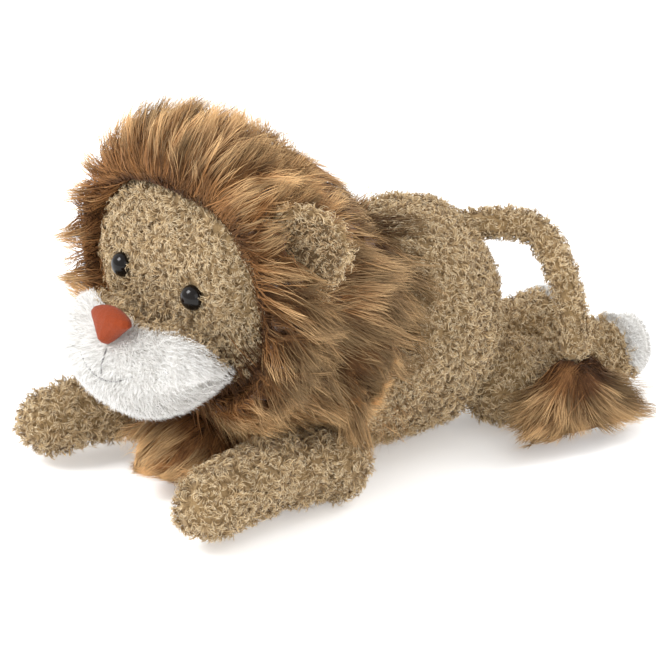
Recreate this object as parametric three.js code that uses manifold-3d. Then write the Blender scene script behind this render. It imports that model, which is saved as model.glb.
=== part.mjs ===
import * as THREE from "three";
import Module from "manifold-3d";

const wasm = await Module();
wasm.setup();

// Lengths are in millimetres. +Z is up, the lion faces -Y and its left side is +X.
// The origin is on the floor under the belly, which rests flat there.
// Every left piece is mirrored in the plane X = 0 to make the right one.

// Sewing and filling
const gap = 0.3;
const skinThickness = 3;
const restingCutDepth = 0.5;
const sweepRoom = 1.3;
const facetRoom = 0.4;
const smallestDetailLength = 0.1;
const degree = Math.PI / 180;

// Torso: a round barrel that lies on its belly
const torsoRadius = 65;
const torsoFrontY = -114;
const torsoRearY = 89;
const torsoRearLiftHeight = 14;
const torsoRearCapShare = 0.3;
const torsoWidthShares = [0.5, 0.78, 0.94, 1, 0.94, 0.62];
const torsoHeightShares = [0.42, 0.66, 0.92, 1.01, 1.03, 0.9];

// Head: wide and flat at the face, lower towards the back
const headFrontY = -137;
const headRearY = -8;
const headHalfWidth = 73;
const headHalfHeight = 72;
const headMiddleZ = 119;
const headRearDrop = 27;
const headWidthShares = [0.97, 0.99, 1, 0.94, 0.8, 0.6];
const headHeightShares = [0.92, 1, 0.99, 0.92, 0.76, 0.52];
const headDropShares = [0, 0, 0.1, 0.36, 0.7, 1];

// Neck: a short sleeve of the torso that the head is sewn round, upright on the turning axis
const neckY = -71;
const neckRadius = 26;
const neckTopZ = 58;

// The bowl in the front of the torso in which the head and its mane turn
const bowlRadius = 78;
const bowlBottomZ = 43;
const bowlTopZ = 212;

// Muzzle: two round cheeks and a chin, wrapped round the front of the head
const muzzleHalfSpan = 58;
const muzzleMiddleY = -146.5;
const muzzleSideY = -129;
const muzzleMiddleZ = 78;
const muzzleSideZ = 88;
const muzzleDepth = 25.5;
const muzzleHeight = 28;
const muzzleDepthShares = [0.72, 0.9, 0.98, 1, 0.98, 0.9, 0.72];
const muzzleHeightShares = [0.7, 1, 0.97, 0.93, 0.97, 1, 0.7];

// Nose: a domed felt triangle, point down
const noseTopZ = 117;
const noseBottomZ = 95;
const noseHalfWidth = 16;
const noseDepth = 8;
const noseTopY = -161;
const noseBottomY = -167;
const noseWidthShares = [0.25, 0.55, 0.82, 1, 0.88];
const noseDepthShares = [0.78, 0.9, 0.98, 1, 0.85];

// Thread of the smile and of the seam below the nose
const threadRadius = 0.8;
const smileHalfSpan = 25;
const smileMiddleZ = 76;
const smileRiseHeight = 8.4;

// Eyes: glossy beads with a shank through the skin into a locking washer
const eyeX = 32;
const eyeZ = 123;
const eyeRadius = 7;
const eyeDomeHeight = 5.5;
const shankRadius = 2;
const shankLength = 9;
const washerRadius = 8.5;
const washerThickness = 2;
const washerSagDepth = 1;

// Ears: round cups, folded back along the head
const earBaseX = 59;
const earBaseY = -107;
const earBaseZ = 150;
const earLength = 47;
const earHalfWidth = 26;
const earThickness = 4;
const earBaseRadius = 6;
const earBaseHalfLength = 16;
const earSweepDegrees = 40;
const earLeanDegrees = 8;
const earCuppingDepth = 5;
const earWidthShares = [0.66, 0.92, 1, 0.9, 0.72];
const earDepthShares = [1, 1, 0.9, 0.8];
const liningThickness = 1.6;
const liningFromShare = 0.2;
const liningToShare = 0.92;
const liningWidthShare = 0.74;
const earFoldDegrees = 12;

// Mane round the face
const ruffFrontY = -138;
const ruffRearY = 5;
const ruffMiddleZ = 121;
const ruffRearDrop = 31;
const ruffHalfWidth = 94;
const ruffHalfHeight = 86;
const ruffWidthShares = [0.98, 1, 0.94, 0.88, 0.8, 0.6];
const ruffHeightShares = [0.88, 1, 0.8, 0.66, 0.54, 0.42];
const ruffDropShares = [0, 0.04, 0.32, 0.58, 0.82, 1];
const ruffBottomZ = 58;
const openingFrontY = -176;
const openingMiddleY = -130;
const openingRearY = -92;
const openingMiddleZ = 114;
const openingHalfWidth = 104;
const openingHalfHeight = 66;
const openingWidthShares = [1, 0.84, 0.58];
const openingHeightShares = [1, 0.92, 0.78];
const ruffFlareEndY = -92;
const ruffFreeZ = 150;
const ruffLockCount = 22;
const lockDepthShare = 0.045;
const lockStartShare = 0.125;

// Hair of the mane over the shoulders
const capeFrontY = -92;
const capeRearY = -14;
const capeHalfWidth = 84;
const capeTopZ = 138;
const capeBottomZ = 58;
const capeSizeShares = [0.86, 1, 0.98, 0.86];
const capeLockCount = 15;
const capeTipY = -60;
const capeRearZ = 100;

// Hair of the mane on the chest, between the forelegs
const chestTopY = -96;
const chestTopZ = 24;
const chestTipY = -150;
const chestTipZ = 20;
const chestHalfWidth = 34;
const chestHalfHeight = 20;
const chestFloorZ = 5;
const chestLockCount = 7;
const chestSizeShares = [1, 0.86, 0.34];

// Forelegs
const shoulderX = 62;
const shoulderY = -66;
const shoulderRadius = 23;
const elbowX = 65;
const elbowY = -100;
const elbowLiftHeight = 4;
const wristX = 71;
const wristY = -140;
const wristLiftHeight = 6;
const pawX = 77;
const pawY = -176;
const forelegHalfWidth = 20.5;
const forelegHalfHeight = 22;
const forelegWidthShares = [0.92, 0.97, 0.92, 1.04];
const forelegHeightShares = [0.94, 1, 0.94, 0.94];
const forelegOutDegrees = 14;
const forelegInDegrees = 4;

// Hind legs, stretched back with the soles to the rear
const hipX = 34;
const hipY = 78;
const hipRadius = 27;
const hockX = 30;
const hockY = 126;
const footX = 29;
const footY = 180;
const footTopZ = 52;
const hindHalfWidth = 20.5;
const hindWidthShares = [0.95, 1, 1.05];
const hindHeightShares = [1.05, 1, 1.16];
const hindOutDegrees = 4;
const hindInDegrees = 3;
const freeHindOutDegrees = 12;
const padSunkLength = 10;
const padProudLength = 3;
const padHalfWidth = 17;
const padHalfHeight = 19;

// Tail and tassel
const tailRadius = 11;
const tailRootX = 3;
const tailRootY = 70;
const tailRootZ = 111;
const tailTopX = 27;
const tailTopY = 102;
const tailTopZ = 109;
const tailBendX = 57;
const tailBendY = 103;
const tailBendZ = 82;
const tailEndX = 70;
const tailEndY = 99;
const tailEndZ = 40;
const tasselTopZ = 50;
const tasselFloorZ = 8;
const tasselFloorX = 85.5;
const tasselFloorY = 95;
const tasselHalfWidth = 41;
const tasselHalfDepth = 11;
const tasselWidthShares = [0.3, 0.5, 0.78, 1];
const tasselDepthShares = [0.66, 0.85, 0.95, 1];
const tasselLockCount = 9;
const tailOutDegrees = 8;
const tailInDegrees = 5;

// Colours of the cloths, taken from the photograph
const curlyPile = cloth(0xa3906a);
const curlyLining = cloth(0x8b7750);
const longPile = cloth(0x9c6230);
const whitePile = cloth(0xf1eeea);
const noseFelt = cloth(0xc4552c);
const thread = cloth(0x55504c);
const filling = cloth(0xe9e6de);
const bead = new THREE.MeshStandardMaterial({ color: 0x14110f, roughness: 0.12, metalness: 0 });
const washerPlastic = new THREE.MeshStandardMaterial({ color: 0xd8d6d0, roughness: 0.45, metalness: 0 });

function cloth(color) {
  return new THREE.MeshStandardMaterial({ color, roughness: 0.95, metalness: 0 });
}

// Value of a list at share s of its way, by a smooth curve through its entries.
function along(list, s) {
  const last = list.length - 1;
  const place = Math.min(Math.max(s, 0), 1) * last;
  const i = Math.min(Math.floor(place), last - 1);
  const t = place - i;
  const [a, b, c, d] = [-1, 0, 1, 2].map((k) => list[Math.min(Math.max(i + k, 0), last)]);
  return b + 0.5 * t * (c - a + t * (2 * a - 5 * b + 4 * c - d + t * (3 * (b - c) + d - a)));
}

// A list of shares times one size.
function sized(shares, size) {
  return shares.map((share) => share * size);
}

// Equal steps between two lengths.
function evenly(from, to, count) {
  return Array.from({ length: count }, (_, i) => from + ((to - from) * i) / (count - 1));
}

// A closed solid from rings of points and a pole at each end of them.
function solidFromRings(firstPole, rings, lastPole) {
  const sides = rings[0].length;
  const points = [firstPole, ...rings.flat(), lastPole];
  const last = points.length - 1;
  const endRing = last - sides;
  const triangles = [];
  for (let j = 0; j < sides; j++) {
    const k = (j + 1) % sides;
    triangles.push(0, 1 + j, 1 + k);
    for (let here = 1; here < endRing; here += sides) {
      const next = here + sides;
      triangles.push(here + j, next + j, next + k);
      triangles.push(here + j, next + k, here + k);
    }
    triangles.push(last, endRing + k, endRing + j);
  }
  const vertProperties = new Float32Array(points.flatMap((p) => p.toArray()));
  const triVerts = new Uint32Array(triangles);
  return new wasm.Manifold(new wasm.Mesh({ numProp: 3, vertProperties, triVerts }));
}

// A stuffed form: ellipses strung along a smooth spine, drawn in to a rounded pole at each end.
// grow moves the whole surface out by that length, and a negative one moves it in.
function stuffed(form, grow = 0) {
  const { spine, halfWidths, halfHeights, up = [0, 0, 1], rings = 14, sides = 20 } = form;
  const { firstCapShare = 0.3, lastCapShare = 0.3, fullness = 2, level = false } = form;
  const { bend = (p) => p, ripple = () => 1 } = form;
  const curve = new THREE.CatmullRomCurve3(spine.map((p) => new THREE.Vector3(...p)));
  const upward = new THREE.Vector3(...up);
  const drawnIn = (share) => (1 - (1 - share) ** fullness) ** (1 / fullness);
  const placed = [];
  for (let i = 0; i <= rings; i++) {
    const s = (1 - Math.cos((Math.PI * i) / rings)) / 2;
    const fromFirst = Math.min(s / firstCapShare, 1);
    const fromLast = Math.min((1 - s) / lastCapShare, 1);
    const tangent = curve.getTangent(s);
    if (level) tangent.setZ(0).normalize();
    const side = tangent.clone().cross(upward).normalize();
    const rise = side.clone().cross(tangent);
    const reach = grow * ((1 - fromLast) ** 2 - (1 - fromFirst) ** 2);
    const centre = curve.getPoint(s).addScaledVector(tangent, reach);
    const roundness = drawnIn(fromFirst) * drawnIn(fromLast);
    const width = (along(halfWidths, s) + grow) * roundness;
    const height = (along(halfHeights, s) + grow) * roundness;
    if (i === 0 || i === rings) {
      placed.push(bend(centre));
      continue;
    }
    placed.push(evenly(0, 2 * Math.PI, sides + 1).slice(0, sides).map((angle) => {
      const swell = ripple(angle, s);
      const point = centre.clone().addScaledVector(side, width * swell * Math.cos(angle));
      return bend(point.addScaledVector(rise, height * swell * Math.sin(angle)));
    }));
  }
  return solidFromRings(placed[0], placed.slice(1, -1), placed[rings]);
}

// A ball. The flats of a socket lie outside the true sphere, so that a ball turns freely in it.
function ball(centre, radius, sides = 20) {
  return wasm.Manifold.sphere(radius, sides).translate(centre);
}

function socket(centre, radius, sides = 20) {
  return ball(centre, radius / Math.cos(Math.PI / sides) ** 2, sides);
}

function uprightRod([x, y], radius, bottomZ, topZ) {
  return wasm.Manifold.cylinder(topZ - bottomZ, radius, radius, 28).translate([x, y, bottomZ]);
}

function box(low, high) {
  return wasm.Manifold.cube(high.map((v, i) => v - low[i])).translate(low);
}

// The space that a solid takes while it turns about an upright axis, between two angles.
function swept(solid, [x, y], fromDegrees, toDegrees, steps = 3) {
  const centred = solid.translate([-x, -y, 0]);
  const turns = evenly(fromDegrees, toDegrees, steps + 1);
  return wasm.Manifold.union(turns.map((turn) => centred.rotate([0, 0, turn]))).translate([x, y, 0]);
}

function mirrored(solid) {
  return solid.mirror([1, 0, 0]);
}

function both(solid) {
  return solid.add(mirrored(solid));
}

function above(solid, z) {
  return solid.trimByPlane([0, 0, 1], z);
}

function largestBody(solid) {
  return solid.decompose().sort((a, b) => b.volume() - a.volume())[0];
}

const group = new THREE.Group();
group.name = "plush_lion";

function addPiece(name, solid, material) {
  const made = solid.simplify(smallestDetailLength).getMesh();
  const geometry = new THREE.BufferGeometry();
  geometry.setAttribute("position", new THREE.BufferAttribute(made.vertProperties, 3));
  geometry.setIndex(new THREE.BufferAttribute(made.triVerts, 1));
  const mesh = new THREE.Mesh(geometry, material);
  mesh.name = name;
  group.add(mesh);
}

function addPair(name, leftSolid, material) {
  addPiece(name + "_left", leftSolid, material);
  addPiece(name + "_right", mirrored(leftSolid), material);
}

// Forms of the torso and the limbs
const torsoForm = {
  spine: evenly(0, 1, 2 * torsoHeightShares.length).map((s) => {
    const halfHeight = torsoRadius * along(torsoHeightShares, s);
    const lift = torsoRearLiftHeight * (Math.max(0, s - 1 + torsoRearCapShare) / torsoRearCapShare) ** 2;
    return [0, torsoFrontY + s * (torsoRearY - torsoFrontY), halfHeight - restingCutDepth + lift];
  }),
  halfWidths: sized(torsoWidthShares, torsoRadius),
  halfHeights: sized(torsoHeightShares, torsoRadius),
  rings: 16,
  sides: 28,
  firstCapShare: 0.2,
  lastCapShare: torsoRearCapShare,
  fullness: 2.4,
  level: true,
};

const bowlForm = {
  spine: [[0, neckY, bowlBottomZ], [0, neckY, bowlTopZ]],
  halfWidths: [bowlRadius, bowlRadius],
  halfHeights: [bowlRadius, bowlRadius],
  up: [0, 1, 0],
  rings: 12,
  sides: 32,
  firstCapShare: 0.5,
  lastCapShare: 0.5,
};

const forelegForm = {
  spine: [
    [shoulderX, shoulderY, shoulderRadius - restingCutDepth],
    [elbowX, elbowY, forelegHalfHeight * forelegHeightShares[1] + elbowLiftHeight],
    [wristX, wristY, forelegHalfHeight * forelegHeightShares[2] + wristLiftHeight],
    [pawX, pawY, forelegHalfHeight * forelegHeightShares[3] - restingCutDepth],
  ],
  halfWidths: sized(forelegWidthShares, forelegHalfWidth),
  halfHeights: sized(forelegHeightShares, forelegHalfHeight),
  rings: 12,
  sides: 16,
  firstCapShare: 0.12,
  lastCapShare: 0.25,
};

const hindForm = {
  spine: [
    [hipX, hipY, hipRadius - restingCutDepth],
    [hockX, hockY, hindHalfWidth * hindHeightShares[1] - restingCutDepth],
    [footX, footY, hindHalfWidth * hindHeightShares[2] - restingCutDepth],
  ],
  halfWidths: sized(hindWidthShares, hindHalfWidth),
  halfHeights: sized(hindHeightShares, hindHalfWidth),
  rings: 11,
  sides: 16,
  firstCapShare: 0.15,
  lastCapShare: 0.18,
};

const tailForm = {
  spine: [
    [tailRootX, tailRootY, tailRootZ],
    [tailTopX, tailTopY, tailTopZ],
    [tailBendX, tailBendY, tailBendZ],
    [tailEndX, tailEndY, tailEndZ],
  ],
  halfWidths: [tailRadius, tailRadius],
  halfHeights: [tailRadius, tailRadius],
  up: [0, 1, 0],
  rings: 16,
  sides: 10,
  firstCapShare: 0.09,
  lastCapShare: 0.09,
};

const shoulder = [shoulderX, shoulderY, shoulderRadius - restingCutDepth];
const hip = [hipX, hipY, hipRadius - restingCutDepth];
const tailRoot = [tailRootX, tailRootY, tailRootZ];

// What stays free round the moving legs and the tail, at a distance grow from them.
function limbSpace(grow) {
  const far = grow + sweepRoom;
  const coarse = { rings: 8, sides: 12 };
  const foreleg = stuffed({ ...forelegForm, ...coarse }, far);
  const hindLeg = stuffed({ ...hindForm, ...coarse }, far);
  const tail = stuffed({ ...tailForm, rings: 12, sides: 8 }, far);
  return wasm.Manifold.union([
    both(socket(shoulder, shoulderRadius + grow)),
    both(swept(foreleg, shoulder, -forelegInDegrees, forelegOutDegrees)),
    both(socket(hip, hipRadius + grow)),
    both(swept(hindLeg, hip, -freeHindOutDegrees, hindInDegrees)),
    socket(tailRoot, tailRadius + grow),
    swept(tail, tailRoot, -tailOutDegrees, tailInDegrees),
  ]);
}

// The bowl, and all that lies under the head in front of the neck
function headSpace(grow) {
  const low = [-torsoRadius, 2 * torsoFrontY, bowlBottomZ - grow];
  return box(low, [torsoRadius, neckY, bowlTopZ]).add(stuffed(bowlForm, grow + facetRoom));
}

// Torso, with its neck sleeve standing in the bowl
function torsoFilled(inset) {
  const fineness = inset > 0 ? { rings: 10, sides: 16 } : {};
  const barrel = stuffed({ ...torsoForm, ...fineness }, -inset).subtract(limbSpace(gap + inset));
  return largestBody(barrel.subtract(headSpace(gap + inset)));
}

const neck = [0, neckY];
const sleeveFootZ = bowlBottomZ - 3 * skinThickness;
const sleeve = uprightRod(neck, neckRadius, sleeveFootZ, neckTopZ);
const sleeveBore = uprightRod(neck, neckRadius - skinThickness, sleeveFootZ, neckTopZ + skinThickness);
const sleeveFilling = uprightRod(neck, neckRadius - skinThickness - gap, sleeveFootZ, neckTopZ);
const torsoOutside = torsoFilled(0).add(sleeve);
const torsoInside = torsoFilled(skinThickness).add(sleeveBore);
addPiece("torso_skin", above(torsoOutside.subtract(torsoInside), 0), curlyPile);
addPiece("torso_stuffing", torsoFilled(skinThickness + gap).add(sleeveFilling), filling);

// Head
const headForm = {
  spine: evenly(headFrontY, headRearY, headWidthShares.length).map((y, i) => [
    0, y, headMiddleZ - headRearDrop * headDropShares[i],
  ]),
  halfWidths: sized(headWidthShares, headHalfWidth),
  halfHeights: sized(headHeightShares, headHalfHeight),
  rings: 14,
  sides: 30,
  firstCapShare: 0.35,
  lastCapShare: 0.4,
  fullness: 2.6,
};

// Where the pieces that turn with the head may be: in the bowl, above the torso or in front of it.
function turningSpace(inset) {
  const beyond = 2 * ruffHalfWidth;
  const aboveTorso = box([-beyond, -2 * beyond, ruffFreeZ], [beyond, beyond, 2 * beyond]);
  const inFront = box([-beyond, -2 * beyond, 0], [beyond, ruffFlareEndY, 2 * beyond]);
  return wasm.Manifold.union([stuffed(bowlForm, -inset), aboveTorso, inFront]);
}

function headFilled(inset) {
  const fineness = inset > 0 ? { rings: 10, sides: 18 } : {};
  return stuffed({ ...headForm, ...fineness }, -inset).intersect(turningSpace(inset));
}

// The point of the face at (x, z): the share of the head's length where its ring passes through it.
function faceY(x, z) {
  const curve = new THREE.CatmullRomCurve3(headForm.spine.map((p) => new THREE.Vector3(...p)));
  let low = 0;
  let high = 0.5;
  for (let i = 0; i < 40; i++) {
    const s = (low + high) / 2;
    const fromFirst = Math.min(s / headForm.firstCapShare, 1);
    const roundness = (1 - (1 - fromFirst) ** headForm.fullness) ** (1 / headForm.fullness);
    const across = x / (along(headForm.halfWidths, s) * roundness);
    const rise = (z - curve.getPoint(s).z) / (along(headForm.halfHeights, s) * roundness);
    if (Math.hypot(across, rise) > 1) low = s;
    else high = s;
  }
  return curve.getPoint(high).y;
}

// Eyes: each bead stands on the face and its shank runs inwards to the washer.
const eyeRiseX = faceY(eyeX + gap, eyeZ) - faceY(eyeX - gap, eyeZ);
const eyeRiseZ = faceY(eyeX, eyeZ + gap) - faceY(eyeX, eyeZ - gap);
const eyeOutward = new THREE.Vector3(eyeRiseX, -2 * gap, eyeRiseZ).normalize();
const eyeTurn = new THREE.Quaternion().setFromUnitVectors(new THREE.Vector3(0, 0, 1), eyeOutward);
const eyeSeat = new THREE.Vector3(eyeX, faceY(eyeX, eyeZ), eyeZ).addScaledVector(eyeOutward, gap);
const eyePlace = new THREE.Matrix4().compose(eyeSeat, eyeTurn, new THREE.Vector3(1, 1, 1)).toArray();

function eyeRod(radius, bottomZ, topZ, sides) {
  return wasm.Manifold.cylinder(topZ - bottomZ, radius, radius, sides).translate([0, 0, bottomZ]);
}

const washerTopZ = -(skinThickness + washerSagDepth + 2 * gap);
const washerBottomZ = washerTopZ - washerThickness;
const dome = wasm.Manifold.sphere(eyeRadius, 20).scale([1, 1, eyeDomeHeight / eyeRadius]);
const eye = above(dome, 0).add(eyeRod(shankRadius, -shankLength, gap, 16)).transform(eyePlace);
const shankHole = eyeRod(shankRadius + gap, -shankLength - gap, gap, 16).transform(eyePlace);
const washerHole = eyeRod(shankRadius + gap, washerBottomZ - gap, washerTopZ + gap, 16);
const washer = eyeRod(washerRadius, washerBottomZ, washerTopZ, 20).subtract(washerHole).transform(eyePlace);
const washerPocket = eyeRod(washerRadius + gap, washerBottomZ - gap, washerTopZ + gap, 20)
  .transform(eyePlace);
addPair("eye", eye, bead);
addPair("eye_washer", washer, washerPlastic);

// Ears, drawn with the seam along Z, the tip along X and the lining on the -Y face
const earForm = {
  spine: [[0, 0, 0], [earLength, 0, 0]],
  halfWidths: sized(earDepthShares, earThickness),
  halfHeights: sized(earWidthShares, earHalfWidth),
  bend: (p) => p.setY(p.y - earCuppingDepth * (p.z / earHalfWidth) ** 2),
  rings: 9,
  sides: 12,
  firstCapShare: 0.05,
  lastCapShare: 0.5,
};
const earSeamForm = {
  spine: [[0, 0, -earBaseHalfLength], [0, 0, earBaseHalfLength]],
  halfWidths: [earBaseRadius, earBaseRadius],
  halfHeights: [earBaseRadius, earBaseRadius],
  up: [0, 1, 0],
  rings: 6,
  sides: 12,
};
const liningForm = {
  ...earForm,
  spine: [[earLength * liningFromShare, -earThickness, 0], [earLength * liningToShare, -earThickness, 0]],
  halfWidths: [liningThickness, liningThickness],
  halfHeights: sized(earWidthShares, earHalfWidth * liningWidthShare),
  firstCapShare: 0.4,
};
const earTurn = new THREE.Euler(0, -earLeanDegrees * degree, earSweepDegrees * degree, "ZYX");
const earPlace = new THREE.Matrix4().makeRotationFromEuler(earTurn);
earPlace.setPosition(earBaseX, earBaseY, earBaseZ);
const earDrawn = stuffed(earForm).add(stuffed(earSeamForm)).subtract(stuffed(liningForm, gap));
const ear = earDrawn.transform(earPlace.toArray());
const earFold = earLength * Math.sin(earFoldDegrees * degree);
const earSide = earThickness + 2 * liningThickness + sweepRoom;
const earSwingForm = {
  ...earForm,
  spine: [[-liningThickness, 0, 0], [earLength + earThickness, 0, 0]],
  halfWidths: evenly(earSide, earSide + earFold, 5),
  halfHeights: sized(earWidthShares, earHalfWidth + earThickness),
  rings: 7,
  firstCapShare: 0.005,
};
function earSpace(grow) {
  return stuffed(earSwingForm, grow).add(stuffed(earSeamForm, grow)).transform(earPlace.toArray());
}

addPair("ear", ear, curlyPile);
addPair("ear_lining", stuffed(liningForm).transform(earPlace.toArray()), curlyLining);

const neckHole = uprightRod(neck, neckRadius + gap, 0, neckTopZ + gap);
const headSkin = headFilled(0).subtract(headFilled(skinThickness)).subtract(neckHole);
addPiece("head_skin", headSkin.subtract(both(earSpace(gap))).subtract(both(shankHole)), curlyPile);
const headInside = headFilled(skinThickness + gap).subtract(neckHole);
const eyePockets = both(washerPocket.add(shankHole));
addPiece("head_stuffing", headInside.subtract(both(earSpace(2 * gap))).subtract(eyePockets), filling);

// Muzzle, and the point of its front at (x, z)
const muzzleForm = {
  spine: evenly(-1, 1, muzzleDepthShares.length).map((t) => [
    muzzleHalfSpan * t,
    muzzleMiddleY + (muzzleSideY - muzzleMiddleY) * t ** 4,
    muzzleMiddleZ + (muzzleSideZ - muzzleMiddleZ) * t ** 2,
  ]),
  halfWidths: sized(muzzleDepthShares, muzzleDepth),
  halfHeights: sized(muzzleHeightShares, muzzleHeight),
  rings: 16,
  sides: 20,
  firstCapShare: 0.16,
  lastCapShare: 0.16,
};

function muzzleFront(x, z) {
  const s = 0.5 + x / (2 * muzzleHalfSpan);
  const curve = new THREE.CatmullRomCurve3(muzzleForm.spine.map((p) => new THREE.Vector3(...p)));
  const centre = curve.getPoint(s);
  const rise = (z - centre.z) / along(muzzleForm.halfHeights, s);
  return [x, centre.y - along(muzzleForm.halfWidths, s) * Math.sqrt(1 - rise ** 2), z];
}

const threadForm = (spine) => ({
  spine,
  halfWidths: [threadRadius, threadRadius],
  halfHeights: [threadRadius, threadRadius],
  rings: 10,
  sides: 6,
  firstCapShare: 0.04,
  lastCapShare: 0.04,
});
const smileForm = threadForm(evenly(-1, 1, 7).map((t) =>
  muzzleFront(smileHalfSpan * t, smileMiddleZ + smileRiseHeight * t ** 2)));
const seamForm = threadForm(evenly(noseBottomZ - 3 * threadRadius, smileMiddleZ + 3 * threadRadius, 4)
  .map((z) => muzzleFront(0, z)));
const muzzleSolid = stuffed(muzzleForm).subtract(stuffed(headForm, gap));
const muzzleGrooved = muzzleSolid.subtract(stuffed(smileForm, gap)).subtract(stuffed(seamForm, gap));
addPiece("muzzle", largestBody(muzzleGrooved), whitePile);
addPiece("smile_stitch", stuffed(smileForm), thread);
addPiece("muzzle_seam", stuffed(seamForm), thread);

const noseForm = {
  spine: evenly(0, 1, noseWidthShares.length).map((t) => [
    0, noseBottomY + (noseTopY - noseBottomY) * t, noseBottomZ + (noseTopZ - noseBottomZ) * t,
  ]),
  halfWidths: sized(noseWidthShares, noseHalfWidth),
  halfHeights: sized(noseDepthShares, noseDepth),
  up: [0, -1, 0],
  rings: 10,
  sides: 14,
  firstCapShare: 0.12,
  lastCapShare: 0.4,
};
const noseSolid = stuffed(noseForm).subtract(stuffed(muzzleForm, gap)).subtract(stuffed(headForm, gap));
addPiece("nose", largestBody(noseSolid), noseFelt);

// Mane
// Locks of hair: the outline swells and sinks, count times round.
function locks(count) {
  return (angle, s) => {
    const started = Math.min(s / lockStartShare, 1);
    return 1 + lockDepthShare * started * Math.cos(count * angle);
  };
}

const ruffForm = {
  spine: evenly(ruffFrontY, ruffRearY, ruffWidthShares.length).map((y, i) => [
    0, y, ruffMiddleZ - ruffRearDrop * ruffDropShares[i],
  ]),
  halfWidths: sized(ruffWidthShares, ruffHalfWidth),
  halfHeights: sized(ruffHeightShares, ruffHalfHeight),
  rings: 11,
  sides: ruffLockCount * 3,
  firstCapShare: 0.1,
  lastCapShare: 0.25,
  ripple: locks(ruffLockCount),
};
const openingForm = {
  spine: [openingFrontY, openingMiddleY, openingRearY].map((y) => [0, y, openingMiddleZ]),
  halfWidths: sized(openingWidthShares, openingHalfWidth),
  halfHeights: sized(openingHeightShares, openingHalfHeight),
  rings: 5,
  sides: 22,
  firstCapShare: 0.02,
  lastCapShare: 0.02,
};
const ruffSolid = above(stuffed(ruffForm).intersect(turningSpace(0)), ruffBottomZ)
  .subtract(stuffed(headForm, gap)).subtract(stuffed(openingForm))
  .subtract(stuffed(muzzleForm, gap)).subtract(both(earSpace(gap)));
addPiece("mane_ruff", largestBody(ruffSolid), longPile);

const capeForm = {
  spine: evenly(capeFrontY, capeRearY, capeSizeShares.length).map((y) => [0, y, capeTopZ - capeHalfWidth]),
  halfWidths: sized(capeSizeShares, capeHalfWidth),
  halfHeights: sized(capeSizeShares, capeHalfWidth),
  rings: 9,
  sides: capeLockCount * 4,
  firstCapShare: 0.2,
  lastCapShare: 0.3,
  ripple: locks(capeLockCount),
};
const torsoSpace = stuffed(torsoForm, gap).add(limbSpace(gap));
const capeSolid = above(stuffed(capeForm), capeBottomZ).subtract(torsoSpace).subtract(headSpace(gap));
const capeSlope = new THREE.Vector3(0, capeBottomZ - capeRearZ, capeRearY - capeTipY).normalize();
const capeEnd = capeSlope.dot(new THREE.Vector3(0, capeTipY, capeBottomZ));
const capeLeft = capeSolid.trimByPlane([1, 0, 0], 0).trimByPlane([0, 1, 0], neckY)
  .trimByPlane(capeSlope.toArray(), capeEnd);
addPair("mane_shoulder", largestBody(capeLeft), longPile);

const chestMiddleY = (chestTopY + chestTipY) / 2;
const chestForm = {
  spine: [[0, chestTopY, chestTopZ], [0, chestMiddleY, chestTopZ], [0, chestTipY, chestTipZ]],
  halfWidths: sized(chestSizeShares, chestHalfWidth),
  halfHeights: sized(chestSizeShares, chestHalfHeight),
  rings: 8,
  sides: chestLockCount * 3,
  firstCapShare: 0.1,
  lastCapShare: 0.6,
  ripple: locks(chestLockCount),
};
const chestSolid = above(stuffed(chestForm), chestFloorZ).subtract(torsoSpace).subtract(headSpace(gap));
addPiece("mane_chest", largestBody(chestSolid), longPile);

// Limbs
const foreleg = above(stuffed(forelegForm).add(ball(shoulder, shoulderRadius)), 0);
addPair("foreleg", foreleg, curlyPile);

const footZ = hindForm.spine[2][2];
const padForm = {
  spine: [[footX, footY - padSunkLength, footZ], [footX, footY + padProudLength, footZ]],
  halfWidths: [padHalfWidth, padHalfWidth],
  halfHeights: [padHalfHeight, padHalfHeight],
  rings: 6,
  sides: 14,
  firstCapShare: 0.5,
  lastCapShare: 0.5,
};
const hindLeg = above(stuffed(hindForm).add(ball(hip, hipRadius)), 0).subtract(stuffed(padForm, gap));
addPair("hind_leg", hindLeg, curlyPile);
addPair("sole_pad", stuffed(padForm), whitePile);

const tasselForm = {
  spine: [
    [tailEndX, tailEndY, tasselTopZ],
    [tailEndX, tailEndY, (2 * tasselTopZ) / 3],
    [(tailEndX + tasselFloorX) / 2, tasselFloorY, tasselTopZ / 3],
    [tasselFloorX, tasselFloorY, -tasselTopZ / 4],
  ],
  halfWidths: sized(tasselDepthShares, tasselHalfDepth),
  halfHeights: sized(tasselWidthShares, tasselHalfWidth),
  up: [0, 1, 0],
  rings: 8,
  sides: tasselLockCount * 3,
  firstCapShare: 0.15,
  lastCapShare: 0.1,
  ripple: locks(tasselLockCount),
};
addPiece("tail", stuffed(tailForm).add(ball(tailRoot, tailRadius)), curlyPile);
const tassel = above(stuffed(tasselForm), tasselFloorZ).subtract(stuffed(tailForm, gap));
addPiece("tail_tassel", largestBody(tassel), longPile);

export default group;
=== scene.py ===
# %% [markdown]
# # A curly plush lion with a long mane
#
# This lesson dresses the stuffed forms of a lying toy lion in its cloths. Each
# cloth is a knitted backing with pile on it. The pile is real geometry: every
# fibre is a narrow tapered ribbon that grows from the backing. There are three
# kinds of pile: short curls on the body, long straight hair in the mane and
# the tassel, and a short white plush on the muzzle and the soles.
#
# All lengths are in metres. The lion faces -Y, its left side is +X and it
# lies on the plane Z = 0.

import math

import bpy
import numpy as np
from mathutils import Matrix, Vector
from mathutils.bvhtree import BVHTree
from mathutils.kdtree import KDTree


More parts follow.
